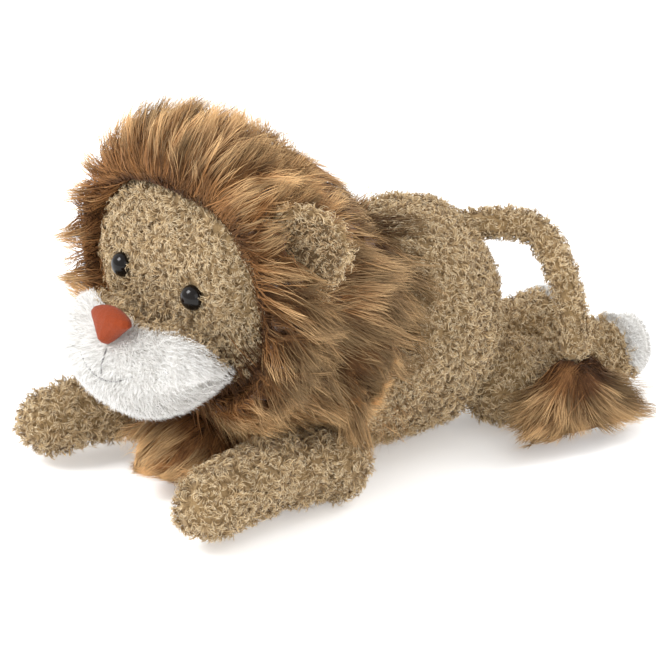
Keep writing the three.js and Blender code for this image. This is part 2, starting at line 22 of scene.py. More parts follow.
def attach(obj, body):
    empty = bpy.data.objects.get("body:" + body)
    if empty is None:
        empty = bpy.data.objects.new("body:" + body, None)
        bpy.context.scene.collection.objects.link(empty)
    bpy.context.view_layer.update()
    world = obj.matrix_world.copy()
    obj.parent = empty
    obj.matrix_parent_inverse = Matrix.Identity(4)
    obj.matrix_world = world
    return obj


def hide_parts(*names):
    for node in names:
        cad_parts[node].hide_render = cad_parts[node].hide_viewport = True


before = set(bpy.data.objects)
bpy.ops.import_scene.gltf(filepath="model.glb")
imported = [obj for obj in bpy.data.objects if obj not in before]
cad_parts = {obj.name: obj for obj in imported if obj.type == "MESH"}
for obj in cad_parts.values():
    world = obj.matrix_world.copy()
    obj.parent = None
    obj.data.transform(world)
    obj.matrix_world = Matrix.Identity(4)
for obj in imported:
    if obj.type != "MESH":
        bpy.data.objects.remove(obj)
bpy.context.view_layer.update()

# %% [markdown]
# Every random choice comes from a seeded generator, so the lion is the same
# each time it is made. Waves of sines give slow random fields over the cloth:
# they turn neighbouring tufts the same way and vary their length and colour.

# %% Random numbers and slow fields
rng = np.random.default_rng(7)
MM = 0.001


def waves(points, wavelength, seed):
    """Sum of nine sine waves in random directions: a smooth field from about -1 to 1.

    f(p) = sum of sin(k . p + phase) / 3, with the length of k near 2 pi / wavelength.
    """
    r = np.random.default_rng(seed)
    k = r.normal(size=(3, 9))
    k *= 2 * np.pi / wavelength * r.uniform(0.6, 1.4, 9) / np.linalg.norm(k, axis=0)
    return np.sin(points @ k + r.uniform(0, 2 * np.pi, 9)).sum(1) / 3


def unit(v):
    """v / |v| for each row."""
    return v / np.maximum(np.linalg.norm(v, axis=-1, keepdims=True), 1e-12)


def ramp(past, length):
    """0 before the start, then a straight rise that reaches 1 after the length."""
    return np.clip(past / length, 0, 1)


# %% [markdown]
# ## Cloths as node groups
#
# Two groups carry the look of all piles. One gives the colour of a strand: a
# dark root, partly the fibre's own colour and partly painted shade deep in the
# pile, a body colour, a light tip, and a tone that differs from strand to strand
# at random, and by painted shade and light in places. The other gives the fine
# streaks of the fibres that lie along a tuft.

# %% Node helpers
def new_group(name, inputs, outputs):
    """An empty shader group with named sockets, and its two end nodes."""
    group = bpy.data.node_groups.new(name, "ShaderNodeTree")
    for socket, kind, value in inputs:
        made = group.interface.new_socket(socket, in_out="INPUT", socket_type=kind)
        made.default_value = value
    for socket, kind in outputs:
        group.interface.new_socket(socket, in_out="OUTPUT", socket_type=kind)
    return group, group.nodes.new("NodeGroupInput"), group.nodes.new("NodeGroupOutput")


def math_node(tree, operation, a, b=None, clamp=False):
    """One Math node; a and b are sockets or numbers."""
    node = tree.nodes.new("ShaderNodeMath")
    node.operation = operation
    node.use_clamp = clamp
    for i, value in enumerate((a, b)):
        if value is None:
            continue
        if isinstance(value, (int, float)):
            node.inputs[i].default_value = value
        else:
            tree.links.new(value, node.inputs[i])
    return node.outputs[0]


def mix_node(tree, factor, a, b):
    """One colour Mix node; a and b are sockets or colours."""
    node = tree.nodes.new("ShaderNodeMix")
    node.data_type = "RGBA"
    for socket, value in ((node.inputs["Factor"], factor), (node.inputs[6], a), (node.inputs[7], b)):
        if isinstance(value, bpy.types.NodeSocket):
            tree.links.new(value, socket)
        else:
            socket.default_value = value
    return node.outputs[2]


def attribute(tree, name):
    """The number that a mesh carries under this name."""
    node = tree.nodes.new("ShaderNodeAttribute")
    node.attribute_name = name
    return node.outputs["Fac"]


def noise_node(tree, vector, scale, detail=2.0, rough=0.5):
    """The noise of one Noise Texture node on a vector socket."""
    noise = tree.nodes.new("ShaderNodeTexNoise")
    for socket, value in (("Scale", scale), ("Detail", detail), ("Roughness", rough)):
        noise.inputs[socket].default_value = value
    tree.links.new(vector, noise.inputs["Vector"])
    return noise.outputs["Fac"]


def new_material(name, inputs):
    """A material, its node tree and its Principled BSDF, whose inputs take these numbers."""
    material = bpy.data.materials.new(name)
    material.use_nodes = True
    shader = material.node_tree.nodes["Principled BSDF"]
    for socket, value in inputs.items():
        shader.inputs[socket].default_value = value
    return material, material.node_tree, shader


def linear(r, g, b):
    """Colour of 0 to 255 as the shader wants it: ((c + 0.055) / 1.055) ** 2.4."""
    c = np.array([r, g, b]) / 255
    c = np.where(c <= 0.04045, c / 12.92, ((c + 0.055) / 1.055) ** 2.4)
    return (*(float(v) for v in c), 1.0)


# %% Strand colour group
def make_strand_group():
    """Root, body and tip colour along a strand, then lighter or darker by its tone."""
    group, given, result = new_group(
        "Strand colour",
        [("Root", "NodeSocketColor", (0.1, 0.08, 0.05, 1)),
         ("Body", "NodeSocketColor", (0.4, 0.3, 0.2, 1)),
         ("Tip", "NodeSocketColor", (0.7, 0.6, 0.4, 1)),
         ("Odd", "NodeSocketColor", (0.5, 0.4, 0.2, 1)),
         ("Root end", "NodeSocketFloat", 0.4),
         ("Tip start", "NodeSocketFloat", 0.6),
         ("Spread", "NodeSocketFloat", 0.3)],
        [("Colour", "NodeSocketColor")])
    along = attribute(group, "along")
    tone = attribute(group, "tone")
    odd = attribute(group, "odd")
    rise = math_node(group, "DIVIDE", along, given.outputs["Root end"], clamp=True)
    past = math_node(group, "SUBTRACT", along, given.outputs["Tip start"])
    left = math_node(group, "SUBTRACT", 1.0, given.outputs["Tip start"])
    end = math_node(group, "DIVIDE", past, left, clamp=True)
    body = mix_node(group, odd, given.outputs["Body"], given.outputs["Odd"])
    colour = mix_node(group, rise, given.outputs["Root"], body)
    colour = mix_node(group, end, colour, given.outputs["Tip"])
    centred = math_node(group, "SUBTRACT", tone, 0.5)
    scaled = math_node(group, "MULTIPLY", centred, given.outputs["Spread"])
    value = math_node(group, "ADD", scaled, 1.0)
    tint = group.nodes.new("ShaderNodeHueSaturation")
    group.links.new(value, tint.inputs["Value"])
    group.links.new(colour, tint.inputs["Color"])
    group.links.new(tint.outputs[0], result.inputs["Colour"])
    return group


strand_group = make_strand_group()


# %% Fibre streak group
def make_streak_group():
    """Fine streaks along a strand, from noise that is stretched along its map."""
    group, given, result = new_group(
        "Fibre streaks",
        [("Across", "NodeSocketFloat", 900.0), ("Along", "NodeSocketFloat", 60.0)],
        [("Streak", "NodeSocketFloat")])
    uv = group.nodes.new("ShaderNodeUVMap")
    uv.uv_map = "OFBake"
    stretch = group.nodes.new("ShaderNodeVectorMath")
    stretch.operation = "MULTIPLY"
    both = group.nodes.new("ShaderNodeCombineXYZ")
    group.links.new(given.outputs["Across"], both.inputs[0])
    group.links.new(given.outputs["Along"], both.inputs[1])
    group.links.new(uv.outputs[0], stretch.inputs[0])
    group.links.new(both.outputs[0], stretch.inputs[1])
    group.links.new(noise_node(group, stretch.outputs[0], 1.0, detail=1.0), result.inputs["Streak"])
    return group


streak_group = make_streak_group()


# %% Pile materials
def pile_material(name, root, body, tip, odd, root_end, tip_start, spread, rough, sheen, streak):
    """A strand material: the group's colour, fibre streaks in colour, soft sheen."""
    material, tree, shader = new_material(name, {
        "Roughness": rough, "Sheen Weight": sheen, "Sheen Roughness": 0.4, "Specular IOR Level": 0.12})
    colour = tree.nodes.new("ShaderNodeGroup")
    colour.node_tree = strand_group
    for socket, value in (("Root", root), ("Body", body), ("Tip", tip), ("Odd", odd)):
        colour.inputs[socket].default_value = linear(*value)
    for socket, value in (("Root end", root_end), ("Tip start", tip_start), ("Spread", spread)):
        colour.inputs[socket].default_value = value
    fibres = tree.nodes.new("ShaderNodeGroup")
    fibres.node_tree = streak_group
    fade = math_node(tree, "MULTIPLY", fibres.outputs[0], streak)
    dark = mix_node(tree, fade, colour.outputs[0], linear(*root))
    tree.links.new(dark, shader.inputs["Base Color"])
    return material


# The dark root colours are partly the fibres' own colour and partly painted shade deep in the pile.
curl_pile = pile_material(
    "curly_pile", root=(122, 97, 65), body=(200, 174, 134), tip=(247, 231, 200), odd=(166, 139, 100),
    root_end=0.45, tip_start=0.6, spread=0.45, rough=0.75, sheen=0.1, streak=0.15)
# Painted shade: the pile of the ear's lining is darker than the outer curls, for the hollow of the ear.
hollow_shaded_pile = pile_material(
    "curly_lining", root=(104, 80, 53), body=(184, 156, 117), tip=(230, 212, 178), odd=(146, 118, 84),
    root_end=0.5, tip_start=0.6, spread=0.45, rough=0.8, sheen=0.1, streak=0.15)
mane_pile = pile_material(
    "long_pile", root=(74, 48, 30), body=(152, 108, 66), tip=(224, 187, 136), odd=(96, 63, 38),
    root_end=0.14, tip_start=0.5, spread=1.25, rough=0.55, sheen=0.0, streak=0.2)
white_pile = pile_material(
    "white_pile", root=(216, 213, 208), body=(238, 237, 235), tip=(245, 244, 242), odd=(229, 227, 224),
    root_end=0.45, tip_start=0.7, spread=0.12, rough=0.85, sheen=0.1, streak=0.05)


# %% [markdown]
# The knitted backing shows between the tufts, dark and rough. The filling is
# loose white fibre, and it stays inside.

# %% Backing, felt, thread and filling materials
BUMP_DEPTH = 0.6 * MM


def cloth_material(name, dark, light, scale, bump, rough=0.9, sheen=0.3):
    """A matt cloth: two colours mixed by noise, with the same noise as bump."""
    material, tree, shader = new_material(name, {
        "Roughness": rough, "Sheen Weight": sheen, "Specular IOR Level": 0.2})
    place = tree.nodes.new("ShaderNodeTexCoord").outputs["Object"]
    noise = noise_node(tree, place, scale, detail=4.0, rough=0.65)
    tree.links.new(mix_node(tree, noise, linear(*dark), linear(*light)), shader.inputs["Base Color"])
    height = tree.nodes.new("ShaderNodeBump")
    height.inputs["Strength"].default_value = bump
    height.inputs["Distance"].default_value = BUMP_DEPTH
    tree.links.new(noise, height.inputs["Height"])
    tree.links.new(height.outputs[0], shader.inputs["Normal"])
    return material


curl_backing = cloth_material("curly_backing", (130, 104, 68), (166, 140, 100), 900, 0.8)
mane_backing = cloth_material("long_backing", (74, 48, 29), (124, 84, 50), 700, 0.8)
white_backing = cloth_material("white_backing", (222, 219, 214), (240, 238, 235), 900, 0.6)
# Painted shade: the lining's backing is darker, for the hollow of the ear.
lining_shaded_backing = cloth_material("lining_shaded_backing", (88, 68, 44), (124, 100, 68), 900, 0.8)
filling_cloth = cloth_material("fibre_filling", (206, 203, 196), (244, 243, 240), 220, 1.0)
nose_felt = cloth_material("nose_felt", (106, 40, 16), (160, 68, 28), 1500, 0.7, rough=0.85, sheen=0.1)
dark_thread = cloth_material("dark_thread", (38, 34, 32), (74, 68, 64), 2600, 0.8, rough=0.7)
washer_plastic = cloth_material("washer_plastic", (206, 204, 198), (220, 218, 212), 300, 0.05, 0.4, 0.0)

# %% [markdown]
# Some skins change their cloth along a seam. The muzzle's upper back is curly
# cloth, the head is curly in front and has long pile behind, and the ends of the
# hind feet are white. The points beyond the seam carry the mark "other", and there
# the backing has the other colour.

# %% Backings of two colours
def two_colours(material, name, other):
    """A copy of a cloth that takes the other colour where the points are marked."""
    made = material.copy()
    made.name = name
    tree = made.node_tree
    shader = tree.nodes["Principled BSDF"]
    base = shader.inputs["Base Color"]
    mixed = mix_node(tree, attribute(tree, "other"), base.links[0].from_socket, linear(*other))
    tree.links.new(mixed, base)
    return made


muzzle_backing = two_colours(white_backing, "muzzle_backing", (150, 124, 86))
head_backing = two_colours(curl_backing, "head_backing", (98, 66, 40))
foot_backing = two_colours(curl_backing, "foot_backing", (232, 230, 226))

# %% [markdown]
# ## Skins from the solid forms
#
# A skin is a copy of its solids, made into one even mesh, smoothed and drawn in
# by the height of the pile, because the solids reach to about the tips of the
# pile. Slow waves make it slightly lumpy, as loose filling does, and creases
# draw it in along a plane where the stuffed cloth folds.

# %% Meshes as arrays
def mesh_arrays(mesh):
    """Points (n, 3) and triangles (m, 3) of a mesh."""
    points = np.zeros(len(mesh.vertices) * 3)
    mesh.vertices.foreach_get("co", points)
    mesh.calc_loop_triangles()
    faces = np.zeros(len(mesh.loop_triangles) * 3, np.int64)
    mesh.loop_triangles.foreach_get("vertices", faces)
    return points.reshape(-1, 3), faces.reshape(-1, 3)


def solid_arrays(nodes):
    """Points and triangles of copies of several named solids together."""
    points, faces, start = [], [], 0
    for node in nodes:
        p, f = mesh_arrays(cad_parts[node].data)
        points.append(eased(node, p))
        faces.append(f + start)
        start += len(p)
    return np.concatenate(points), np.concatenate(faces)


def tree_of(nodes):
    """A search tree over the named solids."""
    points, faces = solid_arrays(nodes)
    return BVHTree.FromPolygons(points.tolist(), faces.tolist())


def nearest_places(tree, points):
    """For each point: the nearest place on the solids, its normal, the way from it and the distance."""
    for p in points.tolist():
        place, normal, _, distance = tree.find_nearest(p)
        yield place, normal, Vector(p) - place, distance


def depth_out(tree, points):
    """Distance of each point from the solids in the tree, negative inside them."""
    return np.array([distance if way.dot(normal) > 0 else -distance
                     for _, normal, way, distance in nearest_places(tree, points)])


def new_object(name, data):
    """A new object in the scene."""
    made = bpy.data.objects.new(name, data)
    bpy.context.collection.objects.link(made)
    return made


# %% [markdown]
# A soft toy is never quite even. The solids are the same on both sides, so the
# copies take on the crookedness of the one in the photograph.

# %% Crooked copies
CHEEK_OUT, CHEEK_FORWARDS, CHEEK_HALF = 9 * MM, 4 * MM, 68 * MM
CHEEK_START, CHEEK_FADE = -60 * MM, 40 * MM
MUZZLE_RISE_LEFT, MUZZLE_RISE_RIGHT, MUZZLE_HALF = 16 * MM, 5 * MM, 47 * MM
MUZZLE_TOP, MUZZLE_FADE = 86 * MM, 30 * MM
SLOPE_BACK, SLOPE_REACH, SLOPE_FADE = 15 * MM, 13 * MM, 20 * MM
SLOPE_START, SLOPE_LOW = -95 * MM, 72 * MM
SLOPE_PLACES, SLOPE_SHARES = [-50 * MM, -15 * MM, 15 * MM, 50 * MM], [0.2, 0, 0, 1]


def eased(node, points):
    """The copies of the head, the muzzle and the mane, as crooked as those in the photograph.

    Head: with t = (|x| / CHEEK_HALF) ** 3 in front and 0 behind, a cheek is CHEEK_OUT * t
    wider and CHEEK_FORWARDS * t further forwards. Muzzle: its underside rises by
    MUZZLE_RISE * (x / MUZZLE_HALF) ** 2 on each side. Mane: where it meets the head, its
    front slopes back by up to SLOPE_BACK at the left cheek, and by a fifth of that at the
    right one.
    """
    points = points.copy()
    x, y, z = points.T.copy()
    if node in ("head_skin", "head_stuffing"):
        t = (np.abs(x) / CHEEK_HALF) ** 3 * ramp(CHEEK_START - y, CHEEK_FADE)
        points += np.stack([np.sign(x) * CHEEK_OUT * t, -CHEEK_FORWARDS * t, 0 * t], 1)
    if node == "muzzle":
        ends = np.where(x > 0, MUZZLE_RISE_LEFT, MUZZLE_RISE_RIGHT) * (x / MUZZLE_HALF) ** 2
        points[:, 2] += ends * ramp(MUZZLE_TOP - z, MUZZLE_FADE)
    if node == "mane_ruff":
        near = np.clip(1 - depth_out(tree_of(["head_skin"]), points) / SLOPE_REACH, 0, 1)
        front = ramp(SLOPE_START - y, SLOPE_FADE) * ramp(z - SLOPE_LOW, SLOPE_FADE)
        points[:, 1] += SLOPE_BACK * near * front * np.interp(x, SLOPE_PLACES, SLOPE_SHARES)
    return points


# %% Even meshes
def voxel_copy(nodes, voxel):
    """One even mesh over copies of the named solids, keeping the largest shell."""
    points, faces = solid_arrays(nodes)
    mesh = bpy.data.meshes.new("copy")
    mesh.from_pydata(points.tolist(), [], faces.tolist())
    made = new_object("copy", mesh)
    remesh = made.modifiers.new("even", "REMESH")
    remesh.mode = "VOXEL"
    remesh.voxel_size = voxel
    evened = made.evaluated_get(bpy.context.evaluated_depsgraph_get())
    shape = bpy.data.meshes.new_from_object(evened)
    bpy.data.objects.remove(made)
    bpy.data.meshes.remove(mesh)
    points, faces = mesh_arrays(shape)
    bpy.data.meshes.remove(shape)
    return largest_shell(points, faces)


def edge_ends(faces):
    """The two ends of every triangle's three edges."""
    return faces[:, [0, 1, 2]].ravel(), faces[:, [1, 2, 0]].ravel()


def largest_shell(points, faces):
    """Keeps the shell with the most points, found by spreading the lowest label along edges."""
    label = np.arange(len(points))
    a, b = edge_ends(faces)
    before = None
    while before is None or (label != before).any():
        before = label.copy()
        np.minimum.at(label, a, label[b])
        np.minimum.at(label, b, label[a])
        label = label[label]
    names, sizes = np.unique(label, return_counts=True)
    keep = label == names[sizes.argmax()]
    number = np.cumsum(keep) - 1
    return points[keep], number[faces[keep[faces].all(1)]]


# %% Normals and smoothing
PULL_IN, PUSH_OUT = 0.5, -0.52


def face_crosses(points, faces):
    """Cross product of two edges of each triangle: its normal, twice its area long."""
    corners = points[faces]
    return np.cross(corners[:, 1] - corners[:, 0], corners[:, 2] - corners[:, 0])


def normals_of(points, faces):
    """Unit normal of each point: the sum of its faces' cross products."""
    face = face_crosses(points, faces)
    total = np.zeros_like(points)
    for corner in range(3):
        np.add.at(total, faces[:, corner], face)
    return unit(total)


def smoothed(points, faces, rounds):
    """Each point goes half way to the mean of its neighbours, then back out by a little more."""
    a, b = edge_ends(faces)
    count = np.bincount(a, minlength=len(points)) + np.bincount(b, minlength=len(points))
    for i in range(rounds * 2):
        total = np.zeros_like(points)
        np.add.at(total, a, points[b])
        np.add.at(total, b, points[a])
        pull = PULL_IN if i % 2 == 0 else PUSH_OUT
        points = points + pull * (total / count[:, None] - points)
    return points


# %% Skins
LUMP_WAVE = 34 * MM
SKIN_FLOOR, FIBRE_FLOOR = 0.4 * MM, 0.15 * MM


class Skin:
    """Points, faces and normals of one skin, ready to grow pile on."""

    def __init__(self, nodes, voxel=2.2 * MM, rounds=8, inset=3.0 * MM, lumps=0.6 * MM, creases=()):
        """creases holds (a point of the fold, the fold's normal, depth, half width)."""
        self.nodes = nodes
        points, faces = voxel_copy(nodes, voxel)
        outer = smoothed(points, faces, rounds)
        self.normals = normals_of(outer, faces)
        swell = lumps * waves(outer, LUMP_WAVE, seed=11) - inset
        for place, across, depth, half in creases:
            away = (outer - place) @ unit(across)
            swell -= depth * np.exp(-(away / half) ** 2)
        self.points = outer + self.normals * swell[:, None]
        self.points[:, 2] = np.maximum(self.points[:, 2], SKIN_FLOOR)
        self.faces = faces
        self.inset = inset

    def sizes(self):
        """Twice the area of each face."""
        return np.linalg.norm(face_crosses(self.points, self.faces), axis=1)

    def area(self):
        """Area of the skin in square metres."""
        return self.sizes().sum() / 2

    def spots(self, count):
        """count spots spread evenly by area: the corners of a face, and their weights."""
        size = self.sizes()
        total = np.cumsum(size)
        chosen = np.searchsorted(total, (np.arange(count) + rng.random(count)) * total[-1] / count)
        chosen = np.minimum(chosen, len(size) - 1)
        u, v = rng.random((2, count))
        flip = u + v > 1
        u, v = np.where(flip, 1 - u, u), np.where(flip, 1 - v, v)
        return self.faces[chosen], np.stack([1 - u - v, u, v], 1)


# %% Values and meshes
def between(values, corners, weights):
    """A value of each point, weighted between the corners of each spot."""
    if values.ndim == 1:
        return (values[corners] * weights).sum(1)
    return (values[corners] * weights[:, :, None]).sum(1)


def add_mesh(name, points, faces, material, body):
    """A mesh object that moves with a body. faces is a list of (n, 3) or (n, 4) arrays."""
    mesh = bpy.data.meshes.new(name)
    mesh.vertices.add(len(points))
    mesh.vertices.foreach_set("co", points.astype(np.float32).ravel())
    sizes = np.concatenate([np.full(len(f), f.shape[1]) for f in faces])
    corners = np.concatenate([f.ravel() for f in faces])
    mesh.loops.add(len(corners))
    mesh.loops.foreach_set("vertex_index", corners.astype(np.int32))
    mesh.polygons.add(len(sizes))
    mesh.polygons.foreach_set("loop_start", (np.cumsum(sizes) - sizes).astype(np.int32))
    mesh.update(calc_edges=True)
    mesh.materials.append(material)
    made = new_object(name, mesh)
    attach(made, body)
    return made


# %% [markdown]
# ## Fibres
#
# A fibre is a line of stations. Two points lie beside each station, a little
# closer together at each step, and the last station closes to a tip. Each
# fibre has its own small field of the map, so that its colour can be painted
# from root to tip.

# %% Fibres to mesh
FIELD_START, FIELD_SHARE = 0.12, 0.76


def fibre_mesh(name, lines, widths, facing, tone, odd, material, body):
    """Tapered ribbons along lines (n, k, 3), with half widths (n, k - 1).

    The points beside a station are p -+ w * (tangent x facing) / |tangent x facing|.
    """
    n, k, _ = lines.shape
    tangent = unit(np.gradient(lines, axis=1))
    side = unit(np.cross(tangent[:, :-1], facing[:, None])) * widths[:, :, None]
    pairs = np.stack([lines[:, :-1] - side, lines[:, :-1] + side], 2)
    points = np.concatenate([pairs.reshape(n, -1, 3), lines[:, -1:]], 1)
    points[:, :, 2] = np.maximum(points[:, :, 2], FIBRE_FLOOR)
    each = 2 * k - 1
    start = (np.arange(n) * each)[:, None]
    i = np.arange(k - 2) * 2
    quads = np.stack([start + i, start + i + 1, start + i + 3, start + i + 2], 2)
    tips = start + np.array([[each - 3, each - 2, each - 1]])
    made = add_mesh(name, points.reshape(-1, 3), [quads.reshape(-1, 4), tips], material, body)

    share = np.linspace(0, 1, k)
    per_point = np.append(np.repeat(share[:-1], 2), 1.0)
    carry(made, "along", np.tile(per_point, n))
    carry(made, "tone", np.repeat(tone, each))
    carry(made, "odd", np.repeat(odd, each))

    cells = math.ceil(math.sqrt(n))
    corner = np.stack([np.arange(n) % cells, np.arange(n) // cells], 1)[:, None, None]
    low, high = share[:-2, None], share[1:-1, None]
    across, up = np.array([[0, 1, 1, 0]]), np.array([[0, 0, 1, 1]])
    quad_map = np.stack([across + 0 * low, low + (high - low) * up], 2)
    tip_map = np.array([[[0, share[-2]], [1, share[-2]], [0.5, 1]]])
    fields = [((corner + FIELD_START + FIELD_SHARE * m) / cells).reshape(-1, 2)
              for m in (quad_map[None], tip_map[None])]
    layer = made.data.uv_layers.new(name="OFBake")
    layer.data.foreach_set("uv", np.concatenate(fields).astype(np.float32).ravel())
    return made


def carry(made, name, values):
    """Stores one number per point on the mesh."""
    made.data.attributes.new(name, "FLOAT", "POINT").data.foreach_set("value", values.astype(np.float32))


# %% Pile in pieces of a fair size
MOST_TRIANGLES = 190000
totals = {"fibres": 0, "triangles": 0}


def pile(name, lines, widths, facing, tone, odd, material, body, slot):
    """Fibres as one or more meshes, each with no more than about MOST_TRIANGLES triangles."""
    each = 2 * lines.shape[1] - 3
    count = math.ceil(len(lines) * each / MOST_TRIANGLES)
    order = np.argsort(lines[:, 0, 1], kind="stable")
    for i, part in enumerate(np.array_split(order, count)):
        full = name if count == 1 else f"{name}_{i + 1}"
        parts = (values[part] for values in (lines, widths, facing, tone, odd))
        made = fibre_mesh(full, *parts, material, body)
    print(name, len(lines), "fibres")
    totals["fibres"] += len(lines)
    totals["triangles"] += len(lines) * each


def backing_piece(name, skin, body, slot, material, fill, nodes):
    """The cloth under the pile: a mesh in place of its solids, which are hidden."""
    base = add_mesh(name, skin.points, [skin.faces], material, body)
    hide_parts(*nodes)
    return base


# %% [markdown]
# Pile is left out where another piece lies over the cloth. For each point of
# the skin, the distance to the neighbouring solids is looked up at PILE_HEIGHT,
# and close to one the pile gets shorter.

# %% Room above a skin
def nearest_of(points, others):
    """For each point, the number of the nearest of the others, and the distance to it."""
    tree = KDTree(len(others))
    for i, p in enumerate(others.tolist()):
        tree.insert(p, i)
    tree.balance()
    _, numbers, distances = zip(*(tree.find(p) for p in points.tolist()))
    return np.array(numbers), np.array(distances)


# %% [markdown]
# ### Curls
#
# The cloth is full of small tufts. A tuft is a few fibres that rise together,
# bend over and turn round in the plane of the cloth, in the shape of a hook.
# Tufts turn alike over a short way only, and they stand higher and lower.

# %% Curl lines
FIBRES_IN_TUFT, TUFT_SHIFT = 4, 0.34 * MM
CURL_STATIONS, STEPS_BETWEEN = 5, 5
UP_SHARES = [0, 0.66, 0.96, 1.02, 0.94]
HEADING_WAVE, TURN_WAVE, TURNS = 16 * MM, 9 * MM, (0.9, 3.6)


def curl_lines(points, normals, height, reach):
    """p(s) = root + n h(s) + reach * integral of (t cos a(s) + b sin a(s)), a(s) = a0 + turn * s.

    The fibres of one tuft share a0, turn, height and reach, apart from small differences.
    """
    n = len(points)
    fixed = unit(np.cross(normals, np.array([0.31, 0.52, 0.79])))
    across = np.cross(normals, fixed)
    heading = np.pi * waves(points, HEADING_WAVE, seed=3) + rng.normal(0, 1.2, n)
    turn = rng.uniform(*TURNS, n)
    turn *= np.where(waves(points, TURN_WAVE, seed=5) + rng.normal(0, 0.7, n) > 0, 1, -1)
    rise = height * np.clip(0.9 + 0.35 * waves(points, 7 * MM, seed=9), 0.5, 1.3) * rng.uniform(0.75, 1.2, n)
    size = reach * rng.uniform(0.7, 1.25, n)

    tuft = np.repeat(np.arange(n), FIBRES_IN_TUFT)
    m = len(tuft)
    normals, fixed, across = normals[tuft], fixed[tuft], across[tuft]
    shift = rng.normal(0, TUFT_SHIFT, (m, 2))
    points = points[tuft] + fixed * shift[:, :1] + across * shift[:, 1:]
    heading = heading[tuft] + rng.normal(0, 0.28, m)
    turn = turn[tuft] * rng.uniform(0.8, 1.2, m)
    rise = rise[tuft] * rng.uniform(0.82, 1.18, m)
    size = size[tuft] * rng.uniform(0.85, 1.15, m)

    aside = fixed * np.cos(heading)[:, None] + across * np.sin(heading)[:, None]
    other = np.cross(normals, aside)
    fine = np.linspace(0, 1, STEPS_BETWEEN * (CURL_STATIONS - 1) + 1)
    angle = turn[:, None] * fine
    step = size[:, None] * np.interp(fine, [0, 0.25, 1], [0.35, 1, 1]) / (len(fine) - 1)
    east = np.cumsum(np.cos(angle) * step, 1)[:, ::STEPS_BETWEEN]
    north = np.cumsum(np.sin(angle) * step, 1)[:, ::STEPS_BETWEEN]
    share = np.linspace(0, 1, CURL_STATIONS)
    up = rise[:, None] * np.interp(share, [0, 0.3, 0.6, 0.8, 1], UP_SHARES)
    lines = points[:, None] + normals[:, None] * up[:, :, None]
    lines = lines + aside[:, None] * east[:, :, None] + other[:, None] * north[:, :, None]
    return lines, points, normals, tuft


# %% Curly skins
CURL_WIDTH, PILE_HEIGHT, ROOT_SUNK = 0.2 * MM, 3.2 * MM, 0.5 * MM
COVERED, OPEN = 0.9 * MM, 4 * MM
CLEAR_HEIGHT, CLEAR_BOX, CLEAR_BY = 3 * MM, 1.5 * MM, 1.3 * MM
PRESSED_BELOW, UNDERSIDE = 6 * MM, -0.3


def everywhere(points):
    """Pile on the whole of a skin."""
    return True


def unshaded(points):
    """Pile of an even tone."""
    return 0


def grow_curls(name, skin, body, neighbours, slot="curly_pile", material=curl_pile, density=0.215,
               height=3.8 * MM, reach=5.9 * MM, under=7 * MM, only=everywhere, clear=(), shade=unshaded):
    """Curls on all of a skin that is not covered; density is in tufts per mm2.

    under is how far the curls go on beneath a neighbour. only(points) marks the part of
    the skin that is curly. No curl grows at the solids in clear. shade(points) is how
    much darker the curls are.
    """
    room = depth_out(tree_of(neighbours), skin.points + skin.normals * PILE_HEIGHT)
    beneath = nearest_of(skin.points, skin.points[room > COVERED])[1]
    spots = skin.spots(int(skin.area() * density / MM ** 2))
    keep = between(beneath, *spots) < under * rng.random(len(spots[0])) ** 0.3
    points, normals = between(skin.points, *spots), unit(between(skin.normals, *spots))
    keep &= only(points)
    above = points + normals * CLEAR_HEIGHT
    for node in clear:
        solid, _ = solid_arrays([node])
        near = ((above > solid.min(0) - CLEAR_BOX) & (above < solid.max(0) + CLEAR_BOX)).all(1)
        keep &= ~near | (depth_out(tree_of([node]), above) > CLEAR_BY)
    points, normals = points[keep], normals[keep]
    spots = [part[keep] for part in spots]
    scale = np.clip(between(room, *spots) / OPEN, 0.5, 1)
    # The weight of the toy presses the curls on its underside flat, the more the nearer to the floor.
    resting = np.clip((points[:, 2] - ROOT_SUNK) / PRESSED_BELOW, 0.25, 1)
    scale = np.minimum(scale, np.where(normals[:, 2] < UNDERSIDE, resting, 1))

    lines, points, normals, tuft = curl_lines(points, normals, height, reach)
    lines = points[:, None] + (lines - points[:, None]) * (0.4 + 0.6 * scale)[tuft, None, None]
    lines -= normals[:, None] * ROOT_SUNK
    taper = np.interp(np.linspace(0, 1, lines.shape[1])[:-1], [0, 0.4, 0.8], [0.9, 1.0, 0.65])
    widths = CURL_WIDTH * rng.uniform(0.75, 1.25, len(lines))[:, None] * taper
    facing = normals + 0.55 * rng.normal(size=normals.shape)
    tuft_tone = rng.normal(0, 0.14, len(scale))
    tone = 0.5 + tuft_tone[tuft] + rng.normal(0, 0.14, len(lines)) + 0.1 * waves(points, 26 * MM, seed=21)
    tone = np.clip(tone - shade(points), 0, 1)
    odd = np.clip(0.3 + 0.3 * waves(points, 9 * MM, seed=23) + rng.normal(0, 0.15, len(lines)), 0, 1)
    pile(name + "_curls", lines, widths, facing, tone, odd, material, body, slot)


def curly(name, skin, body, neighbours, slot="curly_pile", backing=curl_backing, fill=0.8, nodes=None,
          **options):
    """A stuffed skin with curls on it. The backing is given back."""
    base = backing_piece(name, skin, body, slot, backing, fill, nodes or skin.nodes)
    grow_curls(name, skin, body, neighbours, slot, **options)
    return base


# %% [markdown]
# ### Long hair
#
# Long hair lies along the outside of its form. Each hair passes close to one
# spot of the surface. It starts behind that spot, but never outside the form,
# so all hair round the face starts at the edge of the face. Its tip lies
# beyond the spot, and a tip that would stand off too far is drawn back to the
# form, apart from a few wisps. Hairs gather in locks: each bends towards the
# nearest leading hair, and then towards the nearest of a few leaders of wide locks.

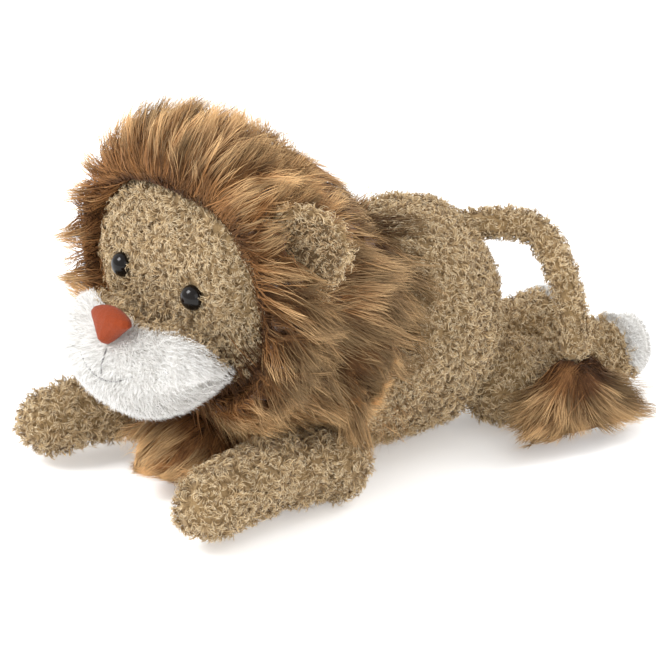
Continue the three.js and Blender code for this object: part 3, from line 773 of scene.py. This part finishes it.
# %% Hair lines
BACK_SHARE, BACK_KEPT, JUST_OFF = 0.45, 0.96, 1.2 * MM
OFF_SKIN, TIP_OFF, TIP_SCATTER = 0.4 * MM, 1 * MM, 0.8 * MM
WIDE_LOCK = 6


def way_back(tree, points, headings, most):
    """How far each point can go back against its heading inside the solid, up to most."""
    result = most.copy()
    for i, (p, d) in enumerate(zip(points.tolist(), (-headings).tolist())):
        distance = tree.ray_cast(p, d, most[i])[3]
        if distance is not None:
            result[i] = distance
    return result


def drawn_to(tree, points, off):
    """Points are drawn to within off of the solid, and out of it if they are inside."""
    result = points.copy()
    for i, (place, normal, way, distance) in enumerate(nearest_places(tree, points)):
        if way.dot(normal) < 0:
            result[i] = place + normal * (0.4 * off[i])
        elif distance > off[i]:
            result[i] = place + way * (off[i] / distance)
    return result


def laid_on(tree, points, off):
    """The nearest points of the solid, lifted off by off along its normal."""
    return np.array([place + normal * lift
                     for (place, normal, _, _), lift in zip(nearest_places(tree, points), off)])


def lifted_out(tree, points, off):
    """Points inside the solid are laid on it, off above; the others stay."""
    result = points.copy()
    for i, (place, normal, way, _) in enumerate(nearest_places(tree, points)):
        if way.dot(normal) < 0:
            result[i] = place + normal * off
    return result


def leaders_of(places, count):
    """For each place, the nearest of count places picked at random."""
    picked = rng.choice(len(places), min(count, len(places)), replace=False)
    return picked[nearest_of(places, places[picked])[0]]


def hair_lines(own, around, points, normals, flow, length, depth, lift, wisp, locks, gather, spread,
               curve, stations, low):
    """Quadratic curve through a root, a middle on the form and a tip, gathered in locks.

    p(s) = (1 - s)^2 root + 2 s (1 - s) c + s^2 tip, with c so that p(1/2) is the middle.
    own is the tree of the form that the hair grows on, around also has the forms it may lie on.
    No tip hangs below about the height low, and no part between root and tip stays inside the form.
    """
    n = len(points)
    heading = unit(flow + spread * rng.normal(size=(n, 3)))
    size = length * (1 + 0.2 * waves(points, 18 * MM, seed=31)) * rng.uniform(0.7, 1.2, n)
    back = way_back(own, points - normals * JUST_OFF, heading, size * BACK_SHARE)
    start = points - heading * (BACK_KEPT * back)[:, None]
    root = start - normals * (depth * rng.uniform(0.6, 1.1, n))[:, None]
    rise = lift * rng.random(n) ** 2
    tip = start + heading * size[:, None] + normals * rise[:, None]
    tip = drawn_to(around, tip, TIP_OFF + wisp * rng.random(n) ** 1.5)
    tip[:, 2] = np.maximum(tip[:, 2], low * rng.uniform(0.5, 1.5, n))
    middle = laid_on(around, (start + tip) / 2, 0.4 * rise)
    middle += unit(np.cross(heading, normals)) * (curve * size * rng.normal(0, 0.15, n))[:, None]

    place = start * 0.5 + tip * 0.5
    leaders = leaders_of(place, locks), leaders_of(place, locks // WIDE_LOCK)
    for chosen, share in zip(leaders, (gather, 0.6 * gather)):
        pull = share * rng.uniform(0.5, 1.05, n)[:, None]
        tip = tip + (tip[chosen] - tip) * pull
        middle = middle + (middle[chosen] - middle) * pull * 0.4
    tip = tip + rng.normal(0, TIP_SCATTER, (n, 3))
    s = np.linspace(0, 1, stations)[:, None]
    control = 2 * middle - (root + tip) / 2
    lines = (1 - s) ** 2 * root[:, None] + 2 * s * (1 - s) * control[:, None] + s ** 2 * tip[:, None]
    lines[:, 1:-1] = lifted_out(own, lines[:, 1:-1].reshape(-1, 3), OFF_SKIN).reshape(n, -1, 3)
    return lines, leaders


# %% Hair on a skin
SHORTENED_TIMES, SHORTENED_TO = 4, 0.65


def grow_hair(name, skin, body, neighbours, count, flow, slot, material, length, depth, lift, wisp, locks,
              gather, width, spread=0.2, curve=0.3, stations=7, keep_out=0.5 * MM, low=1 * MM, over=(),
              only=everywhere, crossing=None, shade=unshaded):
    """Hair on a skin, except under its neighbours; it lies on the skin's own solids and those it is over.

    A hair is about length long, starts depth inside and rises by up to lift, and a wisp
    stands off by up to wisp. It bends by about the share gather to the leader of its lock,
    by 0.6 of that to the leader of its wide lock, and strays by spread and curve.
    only(points) marks where it grows. Lines for which crossing(lines) is true are made
    shorter, and left out if that is not enough. shade(points) is how much darker it is.
    """
    spots = skin.spots(count)
    normals = unit(between(skin.normals, *spots))
    points = between(skin.points, *spots) + normals * skin.inset
    keep = depth_out(tree_of(neighbours), points + normals * JUST_OFF) > keep_out
    keep &= only(points)
    points, normals = points[keep], normals[keep]
    own, around = tree_of(skin.nodes), tree_of([*skin.nodes, *over])
    lines, leaders = hair_lines(own, around, points, normals, flow(points, normals), length, depth, lift,
                                wisp, locks, gather, spread, curve, stations, low)
    taper = np.interp(np.linspace(0, 1, stations)[:-1], [0, 0.3, 0.7, 1], [0.9, 1.0, 0.8, 0.25])
    widths = width * rng.uniform(0.7, 1.25, len(points))[:, None] * taper
    facing = normals + 0.5 * rng.normal(size=normals.shape)
    lock_tone = sum(rng.random(len(points))[leader] - 0.5 for leader in leaders)
    tone = np.clip(0.5 + 0.6 * lock_tone + rng.normal(0, 0.12, len(points)) - shade(points), 0, 1)
    odd = np.clip(0.35 + 0.5 * waves(points, 30 * MM, seed=43) + rng.normal(0, 0.2, len(points)), 0, 1)
    if crossing is not None:
        for _ in range(SHORTENED_TIMES):
            crosses = crossing(lines)
            lines[crosses] = lines[crosses, :1] + (lines[crosses] - lines[crosses, :1]) * SHORTENED_TO
        kept = ~crossing(lines)
        lines, widths, facing, tone, odd = (a[kept] for a in (lines, widths, facing, tone, odd))
    pile(name + "_hair", lines, widths, facing, tone, odd, material, body, slot)


def hairy(name, skin, body, neighbours, count, flow, slot, material, backing, fill=0.5, **options):
    """A form with long hair: a backing deep inside, and the hair round it. The backing is given back."""
    base = backing_piece(name, skin, body, slot, backing, fill, skin.nodes)
    grow_hair(name, skin, body, neighbours, count, flow, slot, material, **options)
    return base


# %% [markdown]
# ## The torso, the head and the limbs in curly pile

# %% Torso
torso = Skin(["torso_skin", "torso_stuffing"], voxel=3.2 * MM)
print("torso skin", round(torso.area() * 1e4), "cm2")
beside_torso = ["head_skin", "mane_ruff", "mane_shoulder_left", "mane_shoulder_right", "mane_chest",
                "foreleg_left", "foreleg_right", "hind_leg_left", "hind_leg_right", "tail"]
curly("torso", torso, "torso", beside_torso, nodes=["torso_skin"], under=12 * MM)

# %% Head
FACE_BACK = -95 * MM
JAW, JAW_RISE = 78 * MM, 26 * MM
JAW_FLAT, JAW_CURVE = 40 * MM, 30 * MM


def of_the_face(points):
    """True in front, and above the jaw: z > JAW + JAW_RISE ((|x| - JAW_FLAT) / JAW_CURVE) ** 2."""
    jaw = JAW + JAW_RISE * (np.maximum(np.abs(points[:, 0]) - JAW_FLAT, 0) / JAW_CURVE) ** 2
    return (points[:, 1] < FACE_BACK) & (points[:, 2] > jaw)


def cheek_shade(points):
    """The curls are darker on the left cheek, in the shadow of the mane."""
    return 0.55 * ramp(points[:, 0] - 32 * MM, 22 * MM) * ramp(158 * MM - points[:, 2], 30 * MM)


head = Skin(["head_skin", "head_stuffing"], voxel=3.0 * MM)
head_base = curly(
    "head", head, "head", ["mane_ruff", "muzzle", "torso_skin", "ear_left", "ear_right"],
    nodes=["head_skin"], backing=head_backing, density=0.24, only=of_the_face, under=18 * MM,
    clear=["nose", "eye_left", "eye_right"], shade=cheek_shade)
carry(head_base, "other", 1.0 - of_the_face(head.points))

# %% Legs
SIDES = {"left": 1, "right": -1}
ELBOW, ELBOW_ACROSS = np.array([0.084, -0.100, 0.033]), np.array([0.45, 0.83, -0.33])
ELBOW_DEPTH, ELBOW_HALF_WIDTH = 3 * MM, 4.5 * MM
SOLE_EDGE, SOLE_LOW = 160 * MM, 20 * MM
WAVER, WAVER_WAVE = 1 * MM, 12 * MM
hind_legs = {}


def on_sole(points):
    """True on the end of a hind foot, where the white cloth of the sole comes round the edge."""
    edge = SOLE_EDGE + np.maximum(SOLE_LOW - points[:, 2], 0) + WAVER * waves(points, WAVER_WAVE, seed=53)
    return points[:, 1] > edge


for side, sign in SIDES.items():
    mirror = np.array([sign, 1, 1])
    elbow = (ELBOW * mirror, ELBOW_ACROSS * mirror, ELBOW_DEPTH, ELBOW_HALF_WIDTH)
    leg = Skin(["foreleg_" + side], voxel=2.3 * MM, creases=[elbow])
    curly("foreleg_" + side, leg, "foreleg_" + side, ["torso_skin", "mane_chest"])
    leg = hind_legs[side] = Skin(["hind_leg_" + side], voxel=2.3 * MM)
    base = curly("hind_leg_" + side, leg, "hind_leg_" + side, ["torso_skin", "sole_pad_" + side],
                 backing=foot_backing, only=lambda points: ~on_sole(points))
    carry(base, "other", on_sole(leg.points).astype(float))

# %% Tail
tail = Skin(["tail"], voxel=1.8 * MM)
curly("tail", tail, "tail", ["torso_skin", "tail_tassel"], height=3.1 * MM, reach=4.8 * MM, density=0.29)

# %% Ears
for side in SIDES:
    ear = Skin(["ear_" + side], voxel=1.2 * MM, inset=0.8 * MM, lumps=0.2 * MM)
    # Painted light: the curls of the ear are lighter by a shade of -0.4, and those of the lining by -0.15.
    curly("ear_" + side, ear, "ear_" + side, ["ear_lining_" + side, "head_skin"], height=4.6 * MM,
          reach=6.2 * MM, density=0.28, shade=lambda points: -0.4)
    lining = Skin(["ear_lining_" + side], voxel=0.9 * MM, inset=0.1 * MM, lumps=0.05 * MM)
    curly("ear_lining_" + side, lining, "ear_" + side, ["ear_" + side], slot="curly_lining",
          backing=lining_shaded_backing, material=hollow_shaded_pile, height=3 * MM, reach=5 * MM, density=0.3,
          fill=0.3, shade=lambda points: -0.15)

# %% [markdown]
# ## The mane and the tassel in long pile
#
# The mane's hair runs outwards from the face, then back over the neck and
# down. Projected on its form, that gives upright hair round the face and hair
# that lies back on the outside.

# %% Flow of the mane
FACE_MIDDLE = np.array([0, 0, 0.114])
SIDEWAYS = np.array([1.0, 0, 0])
ruff_solid, _ = solid_arrays(["mane_ruff"])
FACE_EDGE = ruff_solid[:, 1].min() + 12 * MM
BEHIND_FACE = 50 * MM
RIGHT_CHEEK, CHEEK_DEPTH, CHEEK_RAMP = -45 * MM, 22 * MM, 20 * MM
FLOW_OUT, FLOW_BACK, BACK_AT_SIDE, BACK_BEHIND, LAID = 0.95, 0.1, 0.25, 0.6, 0.85
RISE_PLACES, RISE_SHARES = [-1, -0.5, 0, 0.5, 1], [-1, -0.9, -0.5, 0.4, 1]
SHADE_HEIGHTS, SHADE_SHARES = [60 * MM, 90 * MM, 150 * MM, 190 * MM], [-0.05, 0.34, 0.33, -0.06]


def along_form(f, normals, share):
    """f without that share of its part along the normals, as unit vectors."""
    return unit(f - share * (f * normals).sum(1, keepdims=True) * normals)


def right_cheek(points):
    """1 on the front of the mane at the right cheek, 0 away from it."""
    front = ramp(FACE_EDGE + CHEEK_DEPTH - points[:, 1], CHEEK_RAMP)
    return ramp(RIGHT_CHEEK - points[:, 0], CHEEK_RAMP) * front


def mane_flow(points, normals):
    """Upright over the face, outwards and down at the sides, and backwards behind.

    The hair rises by 1 above the face, falls by 0.5 at the sides and by 1 below it. Its way
    back grows with the distance behind the face. At the right cheek the hair comes forwards
    off the wall beside the face, and stands nearly straight out.
    """
    radial = points - FACE_MIDDLE
    radial[:, 1] = 0
    radial = unit(radial)
    rise = np.interp(radial[:, 2], RISE_PLACES, RISE_SHARES)
    side = 1 - np.abs(radial[:, 2])
    behind = ramp(points[:, 1] - FACE_EDGE, BEHIND_FACE)
    right = right_cheek(points)
    forwards = 0.9 * right * np.clip(normals[:, 0], 0, 1)
    back = FLOW_BACK + (BACK_AT_SIDE * side + BACK_BEHIND * behind) * (1 - 0.8 * right) - forwards
    f = np.stack([(FLOW_OUT + 0.6 * right) * radial[:, 0], back, rise * (1 - 0.5 * right)], 1)
    return along_form(f, normals, LAID * (1 - 0.25 * right)[:, None])


def mane_shade(points):
    """Painted shade and light: the hair is darker in the lower half, and lighter at the right cheek, where
    light comes through.
    """
    return np.interp(points[:, 2], SHADE_HEIGHTS, SHADE_SHARES) - 0.6 * right_cheek(points)


def beard_flow(points, normals):
    """Down and a little outwards below the jaw."""
    return along_form(np.array([0, 0.2, -1]) + 8 * points * SIDEWAYS, normals, 0.6)


def crown_flow(points, normals):
    """Backwards over the crown of the head."""
    return along_form(np.array([0, 1, 0.15]) + 3 * points * SIDEWAYS, normals, 0.9)


def shoulder_flow(points, normals):
    """Back, down and outwards along the shoulder."""
    return along_form(np.array([0, 0.75, -0.9]) + 0.3 * np.sign(points[:, :1]) * SIDEWAYS, normals, 0.9)


def chest_flow(points, normals):
    """Forwards and down, spreading between the forelegs."""
    return along_form(np.array([0, -0.9, -0.5]) + 0.6 * (points[:, :1] / 0.03) * SIDEWAYS, normals, 0.9)


# %% [markdown]
# The ears stand free in front of the mane, so no hair may cross the room in
# front of an ear, apart from the hair at its foot.

# %% Room in front of the ears
def ear_room(side):
    """Middle of the lining, the ways forward and outward from it, and its radius."""
    ear, _ = solid_arrays(["ear_" + side])
    lining, _ = solid_arrays(["ear_lining_" + side])
    middle = lining.mean(0)
    forward = np.linalg.svd(lining - middle, full_matrices=False)[2][2]
    forward *= np.sign(forward @ (middle - ear.mean(0)))
    outward = middle - FACE_MIDDLE
    outward = unit(outward - forward * (outward @ forward))
    flat = lining - middle
    flat = flat - (flat @ forward)[:, None] * forward
    return middle, forward, outward, np.linalg.norm(flat, axis=1).max()


ear_rooms = [ear_room(side) for side in SIDES]
ruff_tree = tree_of(["mane_ruff"])
EAR_FRONT, EAR_BACK = 20 * MM, -2 * MM
ABOVE_AT_EAR, ABOVE_AT_FOOT = 1.5 * MM, 4 * MM
EAR_SIDE, EAR_FOOT, EAR_UPPER = 1.1, -0.6, -0.35


def crosses_an_ear(lines):
    """True for lines that pass less than EAR_FRONT in front of an ear and well above the mane.

    That is ABOVE_AT_EAR in front of the ear's upper part, and ABOVE_AT_FOOT in front of its foot.
    """
    result = np.zeros(len(lines), bool)
    for middle, forward, outward, radius in ear_rooms:
        away = lines - middle
        ahead, out = away @ forward, away @ outward
        aside = np.linalg.norm(away - ahead[..., None] * forward, axis=-1)
        inside = (ahead > EAR_BACK) & (ahead < EAR_FRONT)
        inside &= (aside < EAR_SIDE * radius) & (out > EAR_FOOT * radius)
        above = np.where(out[inside] > EAR_UPPER * radius, ABOVE_AT_EAR, ABOVE_AT_FOOT)
        inside[inside] = depth_out(ruff_tree, lines[inside]) > above
        result |= inside.any(1)
    return result


# %% Mane
LONG = dict(slot="long_pile", material=mane_pile)
MANE_UNDER = ["mane_shoulder_left", "mane_shoulder_right", "torso_skin", "head_skin"]
ruff = Skin(["mane_ruff"], voxel=3.0 * MM, inset=4.5 * MM, rounds=5)
hairy("mane", ruff, "head", ["head_skin", "muzzle"], 46000, mane_flow, **LONG, backing=mane_backing,
      length=58 * MM, depth=5 * MM, lift=8 * MM, wisp=16 * MM, locks=1600, gather=0.6, width=0.18 * MM,
      spread=0.11, curve=0.2, over=MANE_UNDER, crossing=crosses_an_ear, shade=mane_shade)
grow_hair("crown", head, "head", ["mane_ruff", "torso_skin", "ear_left", "ear_right"], 20000, crown_flow,
          **LONG, length=36 * MM, depth=2 * MM, lift=5 * MM, wisp=10 * MM, locks=500, gather=0.7,
          width=0.17 * MM, over=["mane_ruff", "torso_skin"],
          only=lambda points: points[:, 1] > FACE_BACK, shade=mane_shade)
grow_hair("beard", head, "head", ["muzzle", "torso_skin", "mane_chest"], 24000, beard_flow,
          **LONG, length=46 * MM, depth=2 * MM, lift=8 * MM, wisp=14 * MM, locks=160, gather=0.8,
          width=0.17 * MM, over=["mane_ruff", "torso_skin", "mane_chest", *MANE_UNDER[:2]],
          only=lambda points: (points[:, 1] < FACE_BACK) & ~of_the_face(points), shade=mane_shade)

# %% Shoulders and chest
CAPE = dict(LONG, backing=mane_backing, depth=3 * MM, lift=4 * MM, wisp=8 * MM, locks=90, gather=0.8,
            width=0.17 * MM, shade=mane_shade)
for side in SIDES:
    cape = Skin(["mane_shoulder_" + side], voxel=2.4 * MM, inset=4.5 * MM, rounds=5)
    hairy("mane_shoulder_" + side, cape, "torso", ["torso_skin", "head_skin"], 5000, shoulder_flow, **CAPE,
          length=42 * MM, over=["torso_skin", "foreleg_" + side])
chest = Skin(["mane_chest"], voxel=2.4 * MM, inset=3.0 * MM, rounds=5)
hairy("mane_chest", chest, "torso", ["torso_skin"], 5000, chest_flow, **CAPE, length=40 * MM,
      over=["torso_skin", "foreleg_left", "foreleg_right"])

# %% Tassel
tail_end, _ = solid_arrays(["tail"])
WIDE = np.array([0.61, 0.79, 0])
TASSEL_TOP = tail_end[tail_end[:, 2] < tail_end[:, 2].min() + 8 * MM].mean(0) + np.array([0, 0, 0.012])


def tassel_flow(points, normals):
    """Away from the end of the tail, more sideways than down, and mostly along WIDE."""
    away = points - TASSEL_TOP
    return unit(away * np.array([1.5, 1.5, 1]) + 1.4 * (away @ WIDE)[:, None] * WIDE)


tassel = Skin(["tail_tassel"], voxel=1.8 * MM, inset=2.4 * MM, rounds=4)
# Painted shade: the tassel's hair is evenly darker, by a shade of 0.22.
hairy("tail_tassel", tassel, "tail", ["tail"], 7000, tassel_flow, **LONG, backing=mane_backing,
      length=48 * MM, depth=2 * MM, lift=4 * MM, wisp=34 * MM, locks=110, gather=0.6, width=0.17 * MM,
      keep_out=0.2 * MM, low=11 * MM, shade=lambda points: 0.22)

# %% [markdown]
# ## The muzzle and the soles in white plush
#
# The white plush is short and very dense. On the muzzle it is combed away from the nose.

# %% Muzzle
WHITE = dict(slot="white_pile", material=white_pile)
BRIDGE_FRONT, BRIDGE_LOW = -153 * MM, 90 * MM
BRIDGE_BEND, BRIDGE_FLAT, BRIDGE_CURVE = 20 * MM, 25 * MM, 35 * MM
nose_solid, _ = solid_arrays(["nose"])


def muzzle_flow(points, normals):
    """Away from the nose along the cloth, and nearly as much straight out."""
    return unit(along_form(points - nose_solid.mean(0), normals, 1.0) + 0.9 * normals)


def on_bridge(points):
    """True on the upper back of the muzzle, behind a line that wavers a little.

    The line is y = BRIDGE_FRONT + BRIDGE_BEND ((|x| - BRIDGE_FLAT) / BRIDGE_CURVE) ** 1.5.
    """
    out = np.clip((np.abs(points[:, 0]) - BRIDGE_FLAT) / BRIDGE_CURVE, 0, 2)
    line = BRIDGE_FRONT + BRIDGE_BEND * out ** 1.5 + WAVER * waves(points, WAVER_WAVE, seed=51)
    return (points[:, 1] > line) & (points[:, 2] > BRIDGE_LOW)


muzzle = Skin(["muzzle"], voxel=1.8 * MM, rounds=4, inset=2.6 * MM, lumps=0.4 * MM)
muzzle_base = hairy(
    "muzzle", muzzle, "head", ["head_skin", "nose"], 24000, muzzle_flow, **WHITE, backing=muzzle_backing,
    length=6.5 * MM, depth=3.2 * MM, lift=1.2 * MM, wisp=2 * MM, locks=4200, gather=0.45,
    width=0.12 * MM, spread=0.25, stations=5, keep_out=0.4 * MM, fill=0.9,
    only=lambda points: ~on_bridge(points))
carry(muzzle_base, "other", on_bridge(muzzle.points).astype(float))
grow_curls("bridge", muzzle, "head", ["head_skin", "nose"], only=on_bridge, density=0.2)


# %% Soles
def sole_flow(points, normals):
    """Straight out of the cloth, a little down."""
    return unit(normals + np.array([0, 0, -0.3]))


SOLE_HAIR = dict(WHITE, length=4.8 * MM, depth=1.4 * MM, lift=1.2 * MM, wisp=1.5 * MM, locks=500,
                 gather=0.4, width=0.12 * MM, stations=5, keep_out=0.4 * MM)
for side in SIDES:
    sole = Skin(["sole_pad_" + side], voxel=1.3 * MM, inset=1.4 * MM, lumps=0.1 * MM)
    leg = "hind_leg_" + side
    hairy("sole_pad_" + side, sole, leg, [leg], 3600, sole_flow, backing=white_backing, **SOLE_HAIR)
    grow_hair("foot_end_" + side, hind_legs[side], leg, ["sole_pad_" + side], 40000, sole_flow,
              only=on_sole, **SOLE_HAIR)

# %% [markdown]
# ## Nose, stitches, eyes and what is inside
#
# The felt nose is narrow below and pressed flatter than its solid. The stitches
# are sunk into the plush, and most at the ends of the smile.

# %% Nose
NOSE_WIDTH_SHARES, NOSE_PRESSED = [0.55, 1.05], 0.12
nose = Skin(["nose"], voxel=0.7 * MM, rounds=3, inset=-0.3 * MM, lumps=0.25 * MM)
low, high = nose.points[:, 2].min(), nose.points[:, 2].max()
share = (nose.points[:, 2] - low) / (high - low)
nose.points[:, 0] *= np.interp(share, [0, 0.6], NOSE_WIDTH_SHARES)
nose.points[:, 2] -= NOSE_PRESSED * (high - low) * share ** 2
nose.points[:, 1] += NOSE_PRESSED * (nose.points[:, 1].max() - nose.points[:, 1]) - 2 * MM
backing_piece("nose_felt", nose, "head", "nose_felt", nose_felt, 0.8, ["nose"])

# %% Stitches
STITCH_SUNK, SMILE_HALF = 0.5 * MM, 14 * MM
for node in ("smile_stitch", "muzzle_seam"):
    line = Skin([node], voxel=0.35 * MM, rounds=2, inset=0.2 * MM, lumps=0.0)
    line.points[:, 1] += STITCH_SUNK + STITCH_SUNK * (line.points[:, 0] / SMILE_HALF) ** 2
    piece = add_mesh(node + "_thread", line.points, [line.faces], dark_thread, "head")
    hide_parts(node)

# %% Filling
for node, body in (("torso_stuffing", "torso"), ("head_stuffing", "head")):
    inside = Skin([node], voxel=5 * MM, rounds=4, inset=2.5 * MM, lumps=0.8 * MM)
    backing_piece(node.replace("stuffing", "filling"), inside, body, "filling", filling_cloth, 0.9, [node])


# %% [markdown]
# The eyes are glossy beads. Each is turned as one smooth body of revolution:
# a flattened dome with a rounded edge, on the shank that goes through the cloth.

# %% Bead material
def bead_material():
    """Near black and very smooth, with a clear coat and a little brown in it."""
    material, tree, shader = new_material("eye_bead", {
        "Roughness": 0.16, "Specular IOR Level": 0.22, "Coat Weight": 0.08, "Coat Roughness": 0.03})
    noise = noise_node(tree, tree.nodes.new("ShaderNodeTexCoord").outputs["Object"], 120.0)
    tree.links.new(mix_node(tree, noise, linear(8, 6, 5), linear(24, 18, 14)), shader.inputs["Base Color"])
    return material


eye_bead = bead_material()


# %% Turned shapes
def revolved(profile, centre, axis, turns):
    """Points and faces of a closed profile of (radius, height) turned round an axis."""
    side = unit(np.cross(axis, [0, 0, 1.0]))
    up = np.cross(side, axis)
    angle = np.arange(turns) * 2 * np.pi / turns
    ring = np.cos(angle)[:, None] * side + np.sin(angle)[:, None] * up
    inner = profile[1:-1]
    points = [centre + axis * h + ring * r for r, h in inner]
    points = np.concatenate([[centre + axis * profile[0][1]], *points, [centre + axis * profile[-1][1]]])
    k = np.arange(turns)
    after = (k + 1) % turns
    starts = 1 + np.arange(len(inner) - 1)[:, None] * turns
    quads = np.stack([starts + k, starts + after, starts + turns + after, starts + turns + k], 2)
    first = np.stack([np.zeros(turns, int), 1 + after, 1 + k], 1)
    end = len(points) - 1 - turns
    final = np.stack([np.full(turns, len(points) - 1), end + k, end + after], 1)
    return points, [quads.reshape(-1, 4), first, final]


# %% Eyes
EYE_RADIUS, EYE_DOME, EYE_SUNK, EYE_TURNS = 7 * MM, 6.4 * MM, 0.8 * MM, 40
SHANK_RADIUS, SHANK_END = 2 * MM, -9 * MM
DOME = [(EYE_RADIUS * math.cos(t), EYE_DOME * math.sin(t)) for t in np.linspace(0, np.pi / 2, 14)]
SHANK = [(0, SHANK_END), (SHANK_RADIUS, SHANK_END), (SHANK_RADIUS, -0.4 * MM), (6.4 * MM, -0.3 * MM)]
for side in SIDES:
    solid, _ = solid_arrays(["eye_" + side])
    washer_middle = solid_arrays(["eye_washer_" + side])[0].mean(0)
    outward = unit(solid.mean(0) - washer_middle)
    height = (solid - washer_middle) @ outward
    radius = np.linalg.norm(solid - washer_middle - height[:, None] * outward, axis=1)
    centre = washer_middle + outward * (height[radius > 0.97 * radius.max()].mean() - EYE_SUNK)
    points, faces = revolved([*SHANK, *DOME[:-1], (0, EYE_DOME)], centre, outward, EYE_TURNS)
    eye = add_mesh("eye_bead_" + side, points, faces, eye_bead, "head")
    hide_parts("eye_" + side)
    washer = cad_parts["eye_washer_" + side]
    washer.data.materials.clear()
    washer.data.materials.append(washer_plastic)

# %% [markdown]
# ## Floor, light and camera
#
# The photograph is a cut-out on white: soft light from the upper left and
# front, and a long lens from the lion's front left.

# %% Floor
def plate(name, half, z, material):
    """A square plate of half width half at height z, with its own material."""
    points = np.array([[-half, -half, z], [half, -half, z], [half, half, z], [-half, half, z]])
    mesh = bpy.data.meshes.new(name)
    mesh.from_pydata(points.tolist(), [], [(0, 1, 2, 3)])
    mesh.materials.append(material)
    made = new_object(name, mesh)


FLOOR_HALF, FLOOR_HEIGHT, FLOOR_GLOW = 6.0, -0.05 * MM, 0.3
floor_white = cloth_material("floor_white", (249, 249, 249), (252, 252, 252), 4.0, 0.0, 0.9, 0.0)
glow = floor_white.node_tree.nodes["Principled BSDF"]
glow.inputs["Emission Color"].default_value = (1, 1, 1, 1)
glow.inputs["Emission Strength"].default_value = FLOOR_GLOW
plate("floor", FLOOR_HALF, FLOOR_HEIGHT, floor_white)


# %% Lights
AIM = Vector((0, 0, 0.08))
LIGHTS = (("key", (-0.5, -1.5, 1.7), 0.9, 37),
          ("fill", (1.9, -0.4, 1.0), 1.2, 6.5),
          ("rim", (0.2, 1.6, 1.2), 1.0, 15))
for name, place, size, power in LIGHTS:
    light = bpy.data.lights.new(name, "AREA")
    light.size, light.energy = size, power
    lamp = new_object(name, light)
    lamp.location = place
    lamp.rotation_euler = (AIM - Vector(place)).to_track_quat("-Z", "Y").to_euler()

# %% Sky
AMBIENT, AMBIENT_COLOUR = 0.97, (0.99, 0.99, 0.98, 1)
world = bpy.data.worlds.new("studio")
bpy.context.scene.world = world
world.use_nodes = True
sky = world.node_tree
paths = sky.nodes.new("ShaderNodeLightPath")
white = sky.nodes.new("ShaderNodeBackground")
white.inputs["Color"].default_value = (1, 1, 1, 1)
white.inputs["Strength"].default_value = 1.0
ambient = sky.nodes["Background"]
ambient.inputs["Color"].default_value = AMBIENT_COLOUR
ambient.inputs["Strength"].default_value = AMBIENT
seen = math_node(sky, "MAXIMUM", paths.outputs["Is Camera Ray"], paths.outputs["Is Transmission Ray"])
mixed = sky.nodes.new("ShaderNodeMixShader")
sky.links.new(seen, mixed.inputs[0])
sky.links.new(ambient.outputs[0], mixed.inputs[1])
sky.links.new(white.outputs[0], mixed.inputs[2])
sky.links.new(mixed.outputs[0], sky.nodes["World Output"].inputs["Surface"])

# %% Camera
AZIMUTH, ELEVATION, DISTANCE, FIELD = math.radians(52.5), math.radians(21), 2.2, 0.3608
TARGET = Vector((0, -0.0205, 0.0695))
SENSOR = 36
level = math.cos(ELEVATION)
back = Vector((math.sin(AZIMUTH) * level, -math.cos(AZIMUTH) * level, math.sin(ELEVATION)))
lens = bpy.data.cameras.new("camera")
lens.sensor_width = SENSOR
lens.lens = SENSOR * DISTANCE / FIELD
lens.clip_end = 50
camera = new_object("camera", lens)
camera.location = TARGET + back * DISTANCE
camera.rotation_euler = (-back).to_track_quat("-Z", "Y").to_euler()
bpy.context.scene.camera = camera
bpy.context.scene.view_settings.view_transform = "Standard"

# %% Sizes, and the end
print(totals)
